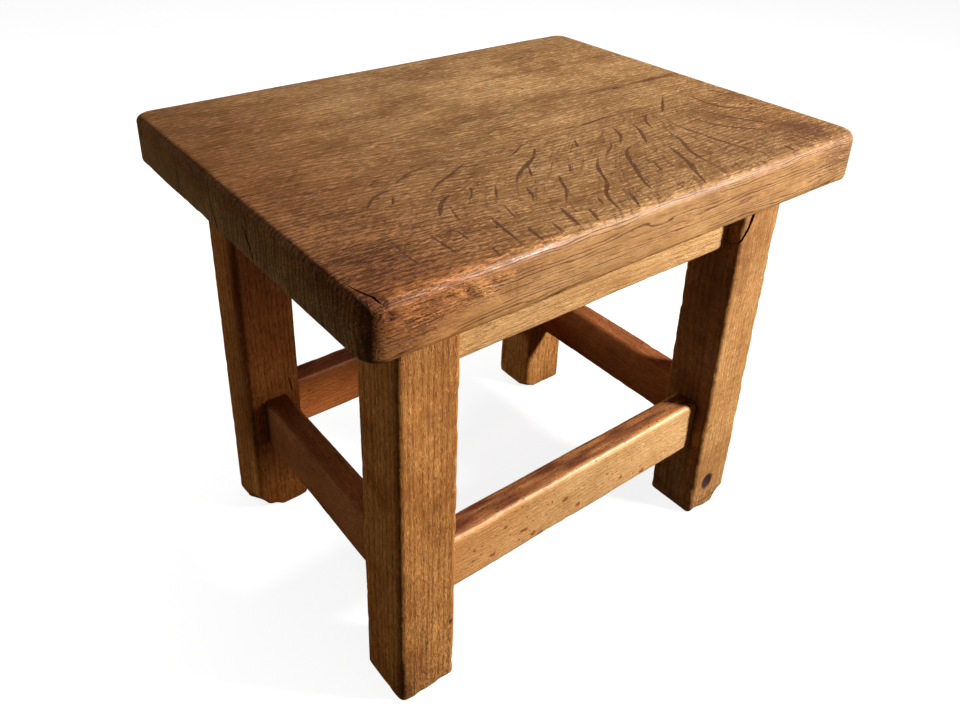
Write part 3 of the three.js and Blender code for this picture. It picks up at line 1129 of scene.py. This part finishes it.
# A tenon runs this far past its shoulder on the outer side of the mitre.
TENON_REACH = stretcher_high[0] - (LEG_X - LEG_SIDE / 2 - GAP)
STRETCHER_TENON = (stretcher_low[2] + TENON_SHOULDER, stretcher_high[2] - TENON_SHOULDER)
APRON_TENON = (apron_low[2] + TENON_SHOULDER, SEAT_BOTTOM - APRON_HAUNCH)
MORTISE_LEVELS = (STRETCHER_TENON, APRON_TENON)
# How far a mortise cutter stands out of the leg.
MORTISE_CLEAR = 8
# How much squarer a tenon's corners are than the body's.
TENON_SQUARENESS = 1.2

# ---- Looks of the pieces ----

# Colours of each timber: pale, middle and dark.
SEAT_COLOURS = ((0.505, 0.262, 0.091), (0.345, 0.158, 0.048), (0.095, 0.032, 0.010))
LEG_COLOURS = ((0.55, 0.232, 0.054), (0.385, 0.138, 0.026), (0.11, 0.03, 0.006))
PALE_LEG_COLOURS = ((0.55, 0.272, 0.085), (0.42, 0.182, 0.050), (0.15, 0.048, 0.013))
RAIL_COLOURS = {
    "front": ((0.66, 0.36, 0.135), (0.52, 0.258, 0.083), (0.19, 0.066, 0.018)),
    "back": ((0.42, 0.115, 0.017), (0.29, 0.069, 0.009), (0.09, 0.02, 0.003)),
    "left": ((0.41, 0.15, 0.046), (0.27, 0.092, 0.026), (0.09, 0.026, 0.007)),
    "right": ((0.50, 0.18, 0.050), (0.34, 0.108, 0.027), (0.09, 0.026, 0.007)),
}

FRONT_BOARD = oak(
    "oak_seat_front", "X", (-190, 262), 1, SEAT_COLOURS,
    ring=3.2, drift=26.0, fine_faces="Y", lines=0.9, pores=0.6, glints=0.75, grit=1.15, streaks=0.85,
    clouds=0.95, relief=1.35, flecks=True,
)
BACK_BOARD = oak(
    "oak_seat_back", "X", (330, 250), 2, SEAT_COLOURS,
    ring=3.3, fine_ring=1.9, fine_faces="Y", lines=0.8, pores=0.5, glints=0.62, grit=1.2, streaks=0.85,
    clouds=1.1, relief=1.6,
)
LEG_LOOK = {"ring": 2.8, "fine_ring": 1.7, "glints": 0.3, "specks": 0.45, "clouds": 1.0, "relief": 0.85}
DARK_LEG_LOOK = {**LEG_LOOK, "lines": 0.12, "pores": 0.55, "flakes": 0.55, "curl": 0.15, "streaks": 0.45}
PALE_LEG_LOOK = {**LEG_LOOK, "lines": 0.04, "pores": 0.25, "flakes": 0.5, "curl": 0.4, "streaks": 0.3}
RAIL_LOOK = {"ring": 2.6, "clouds": 0.9, "blot_colour": (0.30, 0.10, 0.028)}
APRON_LOOK = {
    **RAIL_LOOK,
    "lines": 0.36, "pores": 0.25, "glints": 0.3, "specks": 0.15, "streaks": 0.8,
}
STRETCHER_LOOK = {
    **RAIL_LOOK,
    "fine_faces": "Z", "lines": 0.6, "pores": 0.15, "glints": 0.15, "specks": 0.9, "flakes": 0.35,
    "streaks": 0.25, "relief": 0.6,
}

# Soft patches of a surface: (centre, radii, amount) in millimetres.
# Tone is how much darker the wood is there, or paler if it is below zero.
SEAT_TONE = [
    ((-145, 80, 278), (30, 45, 30), 0.14),
    ((-146, -100, 278), (24, 24, 20), 0.34),
    ((-116, -72, 278), (38, 16, 20), 0.2),
    ((-118, -114, 278), (45, 14, 12), 0.2),
    ((-97, 15, 278), (20, 9, 9), 0.14),
    ((102, 5, 278), (5.5, 2.4, 6), 0.8),
    ((138, 8, 278), (13, 2.2, 6), 0.4),
    ((60, 3, 278), (95, 4.5, 9), 0.27),
    ((141, -109, 278), (14, 15, 12), 0.55),
    ((152, -60, 278), (8, 10, 9), 0.2),
    ((63, 82, 278), (7, 8, 5), -1.1),
    ((88, 52, 278), (80, 44, 9), -0.85),
    ((30, 80, 278), (125, 62, 9), -0.26),
    ((110, -62, 278), (60, 60, 9), 0.13),
    ((-150, 0, 278), (32, 130, 9), 0.19),
    ((-60, -18, 278), (60, 24, 9), 0.08),
    ((142, -129, 262), (34, 6, 24), 0.14),
    ((-20, 80, 278), (80, 45, 9), -0.2),
    ((95, -104, 278), (75, 26, 9), 0.2),
    ((-150, -18, 278), (34, 36, 12), 0.16),
    ((-150, 100, 278), (28, 26, 12), 0.12),
    ((-80, 74, 278), (26, 24, 9), -0.3),
    ((20, 48, 278), (12, 8, 5), -0.35),
    ((24, -20, 278), (24, 9, 9), -0.4),
    ((95, -129, 266), (60, 6, 14), -0.12),
    ((-156, -129, 262), (14, 8, 18), 0.25),
    ((146, -129, 268), (20, 6, 9), 0.25),
    ((-158, -122, 277), (5, 7, 4), 0.5),
    ((-154, -129, 270), (3.5, 3, 3.5), 0.55),
    ((-92, -129, 263), (1.0, 4, 6), 0.35),
]
SEAT_WARM = [
    ((-165, 50, 278), (85, 130, 12), 0.6),
    ((-165, -120, 278), (85, 65, 14), 0.75),
    ((-165, -20, 278), (60, 40, 12), 0.25),
    ((-150, -129, 262), (42, 14, 22), 0.7),
    ((150, -90, 278), (30, 60, 20), 0.15),
]
SEAT_ROUGH = [
    ((-132, -98, 278), (42, 34, 12), 1.0),
    ((-150, -55, 278), (22, 30, 12), 0.5),
    ((-142, -129, 262), (12, 9, 12), 0.6),
    ((-112, -129, 266), (13, 8, 4.5), 0.5),
    ((146, -129, 268), (20, 8, 12), 0.4),
]
# Tone patches of the legs, with painted shade and painted light among them.
LEG_TONE_LIGHT_AND_SHADE = [
    ((-129, -105, 198), (6, 6, 10), -0.55),
    ((-114, -105, 43), (4, 4, 8), -0.7),
    # Painted light: the foot of the back left leg's front face is paler, as if lit from the floor.
    ((-119, 69, 20), (40, 8, 34), -1.5),
    ((-136, -103, 14), (7, 8, 18), 0.5),
    ((-115, -105, 132), (2.4, 3, 3), 0.4),
    ((-112, -105, 117), (1.6, 3, 2.4), 0.4),
    ((111, -105, 40), (12, 6, 14), 0.2),
    # Painted shade down the inner face of the front right leg.
    ((100, -86, 170), (2.5, 30, 120), 0.75),
    ((-119, -105, 222), (30, 9, 40), 0.12),
    ((119, -105, 225), (30, 9, 60), 0.22),
    # Painted shade on the upper part of the back left leg's front face, under the seat.
    ((-119, 69, 190), (30, 8, 45), 0.6),
    ((-137, 86, 130), (2.5, 30, 230), 0.4),
    ((-137, 72, 130), (3, 6, 230), 0.35),
    ((119, 69, 25), (30, 30, 40), 0.14),
    # Painted shade where the front stretcher meets the front right leg.
    ((101, -98, 84), (3, 14, 24), 0.55),
    ((119, -105, 7), (20, 10, 5), 0.25),
]
LEG_BLOTS = [
    ((-104, -105, 43), (2.2, 3, 3.0), 0.9),
    ((-120, -105, 38), (1.6, 3, 2.6), 0.75),
    ((-120.5, -105, 33), (1.3, 3, 2.2), 0.7),
    ((115.5, -105, 23), (5.2, 4, 6.4), 1.5),
    ((107, -105, 38), (3.0, 3, 4.0), 0.35),
]
LEG_ROUGH = [
    ((-119, -105, 60), (26, 9, 60), 0.5),
    ((-119, -105, 8), (26, 30, 14), 0.6),
    ((119, -105, 8), (26, 40, 12), 1.0),
    ((-119, -105, 235), (26, 9, 20), 0.4),
]


def arris_nicks(count, x_range, down_range, seed):
    """Small nicks along the seat's front top arris."""
    rng = np.random.default_rng(seed)
    nicks = []
    for _ in range(count):
        x = rng.uniform(*x_range)
        down = rng.uniform(*down_range)
        size = rng.uniform(0.8, 1.6)
        centre = (x, -SEAT_Y + max(0.0, 3.5 - down), SEAT_TOP - down)
        nicks.append((centre, (size * rng.uniform(1.0, 2.4), size, size), (0, 0.55 * size, -0.4 * size)))
    return nicks


SEAT_DENTS = (
    arris_nicks(20, (-138, -92), (6.5, 12.0), 21) + arris_nicks(9, (-60, 160), (0.5, 6.0), 22)
    + [
        ((-157, -126, SEAT_TOP), (3.5, 4, 4), (0.3, 0.8, -1.0)),
        ((-154.5, -SEAT_Y, 271), (3.0, 3, 2.4), (0, 1.2, 0)),
        ((-SEAT_X, 126, 262), (3, 4, 4), (1.6, -1.2, 0)),
        ((63, 81, SEAT_TOP), (9, 7, 5), (0, 0, -0.4)),
    ]
)


# ---- Assembly ----


def dowel_cutters(side):
    """Holes in one seat board: into the seam, and up from the underside."""
    cutters = []
    middle = (SEAT_TOP + SEAT_BOTTOM) / 2
    for x in SEAM_DOWELS_X:
        seam = seam_y(x)
        start = (x, seam - side * 5, middle)
        cutters.append(hole_cutter(start, (x, seam + side * SEAM_DOWEL_DEPTH, middle), DOWEL_HOLE))
    spots = [(sx * SEAT_DOWEL_X, side * LEG_Y) for sx in (-1, 1)]
    spots += [(sx * LEG_X, side * SEAT_DOWEL_Y) for sx in (-1, 1)]
    for x, y in spots:
        end = (x, y, SEAT_BOTTOM + SEAT_DOWEL_DEPTH)
        cutters.append(hole_cutter((x, y, SEAT_BOTTOM - 5), end, DOWEL_HOLE))
    return cutters


def front_board_damage():
    """The crack in its left end, the split near the corner, and two small holes."""
    near_corner = [
        (-161.5, -108, SEAT_TOP), (-160, -116, SEAT_TOP), (-158, -122, SEAT_TOP - 1),
        (-155.5, -127, SEAT_TOP - 3),
    ]
    return [
        crack([(-SEAT_X, -20, 269), (-SEAT_X, -25, 259), (-SEAT_X, -31, 249)], LEFT, 1.9, 5, 3),
        crack(near_corner, (0, -0.25, 1), 1.6, 3.5, 4),
        scoop((-153.5, -128.6, 269.3), (1.7, 1.0, 0.9), (0, 20, 0), seed=4, rough=0.4),
        scoop((150, -62, 278.2), (1.3, 0.9, 1.2), seed=5),
    ]


def back_board_damage():
    """A check along the top, two cracks in the left end, and a small hole."""
    return [
        crack([(-160, 26, SEAT_TOP), (-148, 24.5, SEAT_TOP), (-134, 22, SEAT_TOP)], UP, 1.0, 3, 6),
        crack([(-SEAT_X, 18, 268), (-SEAT_X, 17, 260), (-SEAT_X, 11, 250)], LEFT, 1.8, 5, 7),
        crack([(-SEAT_X + 2.5, 42, 276), (-SEAT_X, 36, 271), (-SEAT_X, 31, 269)], (-1, 0, 0.6), 0.9, 3, 8),
        scoop((51, 38, 278.1), (1.1, 0.9, 1.1), seed=6),
    ]


def seam_dirt(points):
    """Dirt in the seam, which opens towards the right end."""
    x, y, z = points.T
    near = np.exp(-(((y - seam_y(x)) / 1.4) ** 2))
    worn = 0.75 + 0.5 * lattice_noise(points, 22.0)
    return near * worn * (0.32 + 0.5 * smoothstep(-70, 20, x)) * smoothstep(SEAT_TOP - 6, SEAT_TOP - 1, z)


def store_seat_marks(piece):
    """The wear and dirt of a seat board, which its material reads."""
    points = positions(piece)
    x, y, z = points.T
    edge = np.minimum(SEAT_X - np.abs(x), SEAT_Y - np.abs(y))
    flank = np.minimum(SEAT_TOP - z, z - SEAT_BOTTOM)
    polish = 0.45 + 0.55 * np.exp(-(((x + 110) / 50) ** 2)) + 0.25 * lattice_noise(points, 20.0)
    store(piece, "arris", smoothstep(8, 1, edge) * smoothstep(8, 1, flank) * np.clip(polish, 0, 1))
    store(piece, "tone", soft_patches(points, SEAT_TONE) + seam_dirt(points))
    store(piece, "warm", soft_patches(points, SEAT_WARM))
    store(piece, "rough", np.clip(soft_patches(points, SEAT_ROUGH), 0, 1))


def store_flecks(piece):
    """The distance to the large flecks, and the fan that the small ones follow."""
    points = positions(piece)
    across, along = fan_coordinates(points)
    zone = smoothstep(SEAT_TOP - 4, SEAT_TOP - 2, points[:, 2]) * smoothstep(-18, -40, points[:, 1])
    store(piece, "fleck", fleck_distance(points))
    store(piece, "fan_across", across)
    store(piece, "fan_along", along)
    store(piece, "fan_zone", zone * (0.35 + 0.65 * smoothstep(-140, 0, points[:, 0])))


def build_seat():
    for name, side, material, damage in (
        ("front", -1, FRONT_BOARD, front_board_damage()),
        ("back", 1, BACK_BOARD, back_board_damage()),
    ):
        node = f"seat_board_{name}"
        piece = seat_board(node, side, material)
        carve(piece, dowel_cutters(side) + damage)
        store_seat_marks(piece)
        if name == "front":
            store_flecks(piece)
        settle(piece, node)


LEG_FRONT_Y = -LEG_Y - LEG_SIDE / 2
LEG_INNER_Y = LEG_Y - LEG_SIDE / 2
LEG_INNER_X = LEG_X - LEG_SIDE / 2
LEG_OUTER_X = LEG_X + LEG_SIDE / 2


def leg_cracks():
    """Cutters for the cracks of each leg."""
    front_y = LEG_FRONT_Y
    inner_x = LEG_INNER_X
    inner_y = LEG_INNER_Y
    hook = [(115.5, front_y, 264), (112.5, front_y, 246), (110, front_y, 232), (107, front_y, 222),
            (101, front_y, 212)]
    hook_end = [(inner_x, front_y + 2, 214), (inner_x, front_y + 6, 211), (inner_x, front_y + 10, 209)]
    foot = [(104, front_y, 9), (114, front_y, 6.5), (122, front_y, 7.5), (133, front_y, 5)]
    back = [(-109, inner_y, 104), (-108, inner_y, 97), (-106.5, inner_y, 91)]
    return {
        "front_left": [],
        "front_right": [
            crack(hook, FRONT, 4.2, 9, 11, wander=0.06),
            crack(hook_end, LEFT, 1.2, 3, 12),
            crack(foot, FRONT, 1.2, 2, 13),
        ],
        "back_left": [crack(back, FRONT, 1.3, 4, 14)],
        "back_right": [],
    }


def leg_dents():
    """Worn and chipped places of each leg: (centre, radii, push)."""
    front_y = LEG_FRONT_Y
    inner_y = LEG_INNER_Y
    outer = LEG_OUTER_X
    return {
        "front_left": [
            ((-outer, front_y, 5), (9, 9, 12), (1.0, 1.0, 0)),
            ((-104, front_y, 43), (3, 3, 4), (0, 0.7, 0)),
        ],
        "front_right": [
            ((outer, front_y, -3), (14, 30, 15), (-5.0, 1.5, 5.0)),
            ((115.5, front_y, 23), (6, 5, 7.5), (0, 1.6, 0)),
            ((107, front_y, 0), (8, 8, 5), (0, 1.0, 1.2)),
        ],
        "back_left": [((-outer, inner_y, -4), (18, 22, 18), (7.0, 1.0, 4.0))],
        "back_right": [((102, inner_y, -2), (8, 10, 7), (2.0, 1.0, 2.0))],
    }


def store_leg_marks(piece, low, high, dripped):
    """The wear and dirt of a leg, with painted shade and painted light on some legs. One has drips down
    the side of its foot.
    """
    points = positions(piece)
    damp = smoothstep(24, 2, points[:, 2] + 9 * lattice_noise(points * (1, 1, 0.25), 3.0))
    tone = soft_patches(points, LEG_TONE_LIGHT_AND_SHADE) + damp * 0.08
    if dripped:
        drips = smoothstep(0.0, 0.4, lattice_noise(points * (1, 1, 0.16), 1.7))
        drips *= smoothstep(28, 12, points[:, 2] + 8 * lattice_noise(points + 60, 5.0))
        tone += 0.4 * drips * smoothstep(2.5, 0.5, np.abs(points[:, 0] - low[0]))
    store(piece, "arris", block_arris(points, low, high, 5.0))
    store(piece, "tone", tone)
    store(piece, "blot", soft_patches(points, LEG_BLOTS))
    store(piece, "rough", np.clip(soft_patches(points, LEG_ROUGH), 0, 1))


LEG_PITHS = {
    "front_left": (60, -260),
    "front_right": (300, 40),
    "back_left": (-260, 160),
    "back_right": (250, 240),
}
PALE_LEG = "front_right"


def build_legs():
    cracks = leg_cracks()
    dents = leg_dents()
    for seed, (name, pith) in enumerate(LEG_PITHS.items(), start=3):
        node = f"leg_{name}"
        is_pale = name == PALE_LEG
        colours = PALE_LEG_COLOURS if is_pale else LEG_COLOURS
        look = PALE_LEG_LOOK if is_pale else DARK_LEG_LOOK
        material = oak(f"oak_{node}", "Z", pith, seed, colours, **look)
        piece, low, high = leg(node, material, cracks[name], dents[name])
        store_leg_marks(piece, low, high, is_pale)
        settle(piece, node)


# How dirty the top of each stretcher is, where feet have rested.
STRETCHER_GRIME = {"front": 0.6, "right": 0.3, "back": 0.4, "left": 0.0}
STRETCHER_WARMTH = {"front": 0.85, "right": 0.25, "back": 0.25, "left": 0.3}
STRETCHER_SPOTS = [
    ((-14, -95, 73), (2.8, 4, 1.5), 1.3),
    ((-46, -95, 67), (3.2, 4, 1.6), 1.2),
    ((-3, -95, 63), (2.5, 4, 1.7), 1.1),
    ((-69, -95, 63), (2.9, 4, 1.4), 1.0),
    ((-39, -95, 61), (3.0, 4, 1.5), 1.2),
    ((-33, -95, 58), (2.2, 4, 1.2), 1.1),
    ((54, -95, 59), (2.6, 4, 1.7), 1.2),
    ((22, -95, 74), (3.4, 4, 1.2), 0.8),
    ((-82, -95, 74), (2.4, 4, 1.2), 0.9),
    ((-60, -95, 78), (2.2, 4, 1.1), 0.8),
    ((-26, -95, 77), (2.6, 4, 1.2), 0.8),
    ((78, -95, 72), (2.0, 4, 1.1), 0.8),
    ((34, -95, 64), (2.2, 4, 1.2), 0.8),
]
STRETCHER_TONE_AND_SHADE = [
    ((66, -95, 70), (60, 5, 26), -0.4),
    ((-20, -95, 80), (26, 5, 8), -0.3),
    # Painted shade at the stretcher's right end, where it meets the leg.
    ((94, -92, 86), (6, 12, 9), 0.3),
]


def apron_dowel_holes(centre, is_long):
    """Holes down into an apron for its two dowels."""
    holes = []
    for spot in (-1, 1):
        x, y, _ = centre
        if is_long:
            x += spot * SEAT_DOWEL_X
        else:
            y += spot * SEAT_DOWEL_Y
        holes.append(hole_cutter((x, y, SEAT_BOTTOM - 20), (x, y, SEAT_BOTTOM + 5), DOWEL_HOLE))
    return holes


def build_apron(side, seed, grain, pith):
    node = f"apron_{side}"
    low, high = millimetres(node)
    holes = apron_dowel_holes((low + high) / 2, grain == "X")
    material = oak(f"oak_{node}", grain, pith, seed + 0.5, RAIL_COLOURS[side], **APRON_LOOK)
    piece, low, high = rail(node, material, APRON_TENON, APRON_ARRIS, holes)
    store(piece, "arris", block_arris(positions(piece), low, high, 3.5))
    settle(piece, node)


def store_stretcher_marks(piece, side, low, high):
    """Grime and warmth on a stretcher's top, and the front one's spots, its painted shade by the right
    leg, and its paler arris, which is worn and painted with a highlight.
    """
    points = positions(piece)
    x, y, z = points.T
    on_top = smoothstep(high[2] - 1.2, high[2] - 0.3, z)
    squeezed = points * ((0.09, 1, 1) if side in ("front", "back") else (1, 0.09, 1))
    patchy = 1.0 + 0.8 * lattice_noise(squeezed, 1.6) + 0.2 * lattice_noise(points + 80, 9.0)
    tone = on_top * STRETCHER_GRIME[side] * np.clip(patchy, 0, 1.5)
    warmth = on_top * STRETCHER_WARMTH[side]
    if side == "front":
        tone += soft_patches(points, STRETCHER_TONE_AND_SHADE) + on_top * 0.12 * smoothstep(20, -90, x)
        # A paler band along the top front arris: worn wood, and a painted highlight.
        off_arris = np.hypot(y - low[1] - 1.4, z - high[2] + 1.0)
        tone -= np.exp(-((off_arris / 1.7) ** 2)) * (0.8 + 0.9 * lattice_noise(squeezed + 50, 1.4))
        warmth = np.maximum(warmth, 0.5 * smoothstep(0, -75, x))
        spots = soft_patches(points, STRETCHER_SPOTS) * (1 + lattice_noise(points, 1.3))
        store(piece, "blot", spots)
    store(piece, "arris", block_arris(points, low, high, 5.0))
    store(piece, "tone", tone)
    store(piece, "warm", warmth)
    store(piece, "rough", on_top * STRETCHER_GRIME[side])


def build_stretcher(side, seed, grain, pith):
    node = f"stretcher_{side}"
    material = oak(f"oak_{node}", grain, pith, seed, RAIL_COLOURS[side], **STRETCHER_LOOK)
    piece, low, high = rail(node, material, STRETCHER_TENON, STRETCHER_ARRIS)
    store_stretcher_marks(piece, side, low, high)
    settle(piece, node)


def build_rails():
    for seed, side in enumerate(("front", "right", "back", "left"), start=10):
        for kind, build in (("apron", build_apron), ("stretcher", build_stretcher)):
            low, high = millimetres(f"{kind}_{side}")
            x, y, _ = (low + high) / 2
            if side in ("front", "back"):
                build(side, seed, "X", (y + 30, 320))
            else:
                build(side, seed, "Y", (320, x + 30))


build_seat()
build_legs()
build_rails()

for name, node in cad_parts.items():
    if "dowel" in name:
        node.data.materials.clear()
        node.data.materials.append(BEECH)

# ---- Floor, light and camera ----

FLOOR_BOUNCE = (0.04, 0.026, 0.016)


def build_floor():
    """A pale floor, lit from within as a light table is, which throws little light on the stool."""
    mesh = bpy.data.meshes.new("floor")
    reach = 6.0
    corners = [(-reach, -reach, 0), (reach, -reach, 0), (reach, reach, 0), (-reach, reach, 0)]
    mesh.from_pydata(corners, [], [(0, 1, 2, 3)])
    n = Nodes("pale_floor")
    seen = n.node("ShaderNodeLightPath").outputs["Is Camera Ray"]
    matt = n.node("ShaderNodeBsdfDiffuse", {"Color": n.blend(seen, FLOOR_BOUNCE, (0.2, 0.2, 0.2))})
    glow = n.node("ShaderNodeEmission", {"Color": (1, 1, 1, 1), "Strength": n.times(seen, 0.86)})
    shader = n.node("ShaderNodeAddShader", {0: matt.outputs[0], 1: glow.outputs[0]})
    mesh.materials.append(n.finish(shader))
    plane = bpy.data.objects.new("floor", mesh)
    bpy.context.scene.collection.objects.link(plane)


def area_light(name, place, aim, size, power, colour=(1, 1, 1), glossy=True):
    data = bpy.data.lights.new(name, "AREA")
    data.shape = "DISK"
    data.size = size
    data.energy = power
    data.color = colour
    light = bpy.data.objects.new(name, data)
    light.location = place
    light.rotation_euler = (Vector(aim) - Vector(place)).to_track_quat("-Z", "Y").to_euler()
    light.visible_glossy = glossy
    bpy.context.scene.collection.objects.link(light)
    return light


def link_light(light, names, state):
    """Lets a light reach only the named objects, or with EXCLUDE keeps it off them."""
    linked = bpy.data.collections.new(f"linked_to_{light.name}")
    for name in names:
        linked.objects.link(bpy.data.objects[name])
    light.light_linking.receiver_collection = linked
    for item in linked.collection_objects:
        item.light_linking.link_state = state


def around(azimuth, distance, height):
    """A place round the stool. Azimuth 0 is in front of it, and 90 is off its right end."""
    angle = math.radians(azimuth)
    return (distance * math.sin(angle), -distance * math.cos(angle), height)

def build_lights():
    key = area_light("key", around(40, 0.95, 0.68), (0, 0, 0.16), 0.16, 20.7)
    # The key light is kept off the back left leg and the left stretcher, which leaves that corner in
    # shade, as in the photo.
    shaded = ["leg_back_left_wood", "stretcher_left_wood"]
    link_light(key, shaded, "EXCLUDE")
    bounce = area_light("bounce", around(15, 0.9, 0.1), (0, 0, 0.05), 0.5, 2.4, (1, 0.72, 0.52))
    link_light(bounce, shaded, "INCLUDE")
    middle = (0, 0, 0.15)
    area_light("fill", around(-135, 1.2, 0.16), middle, 0.8, 5, (1, 0.93, 0.85), glossy=False)
    area_light("back", around(160, 1.3, 0.3), middle, 0.8, 8, glossy=False)
    wash = area_light("wash", (0, 0, 2.5), (0, 0, 0), 2.5, 60)
    link_light(wash, ["floor"], "INCLUDE")


def build_world():
    """A white backdrop that throws little light of its own."""
    world = bpy.data.worlds.new("room")
    world.use_nodes = True
    nodes = world.node_tree.nodes
    links = world.node_tree.links
    backdrop = nodes["Background"]
    backdrop.inputs["Color"].default_value = (1.0, 1.0, 1.0, 1.0)
    path = nodes.new("ShaderNodeLightPath")
    level = nodes.new("ShaderNodeMapRange")
    level.inputs["To Min"].default_value = 0.03
    level.inputs["To Max"].default_value = 0.97
    links.new(path.outputs["Is Camera Ray"], level.inputs["Value"])
    links.new(level.outputs[0], backdrop.inputs["Strength"])
    bpy.context.scene.world = world


CAMERA_PLACE = (-0.3016, -0.3619, 0.4493)
CAMERA_AIM = (0.0375, 0.0715, 0.1637)
CAMERA_ROLL = 1.6
CAMERA_LENS = 32.76
CAMERA_SHIFT = (0.0124, -0.1314)


def build_camera():
    """A camera where the photo was taken from."""
    data = bpy.data.cameras.new("camera")
    data.sensor_width = 36.0
    data.lens = CAMERA_LENS
    data.shift_x, data.shift_y = CAMERA_SHIFT
    camera = bpy.data.objects.new("camera", data)
    camera.location = CAMERA_PLACE
    look = (Vector(CAMERA_AIM) - Vector(CAMERA_PLACE)).to_track_quat("-Z", "Y").to_matrix()
    roll = Matrix.Rotation(math.radians(CAMERA_ROLL), 3, "Z")
    camera.rotation_euler = (look @ roll).to_euler()
    bpy.context.scene.collection.objects.link(camera)
    bpy.context.scene.camera = camera


build_floor()
build_lights()
build_world()
build_camera()
bpy.context.scene.view_settings.view_transform = "Standard"
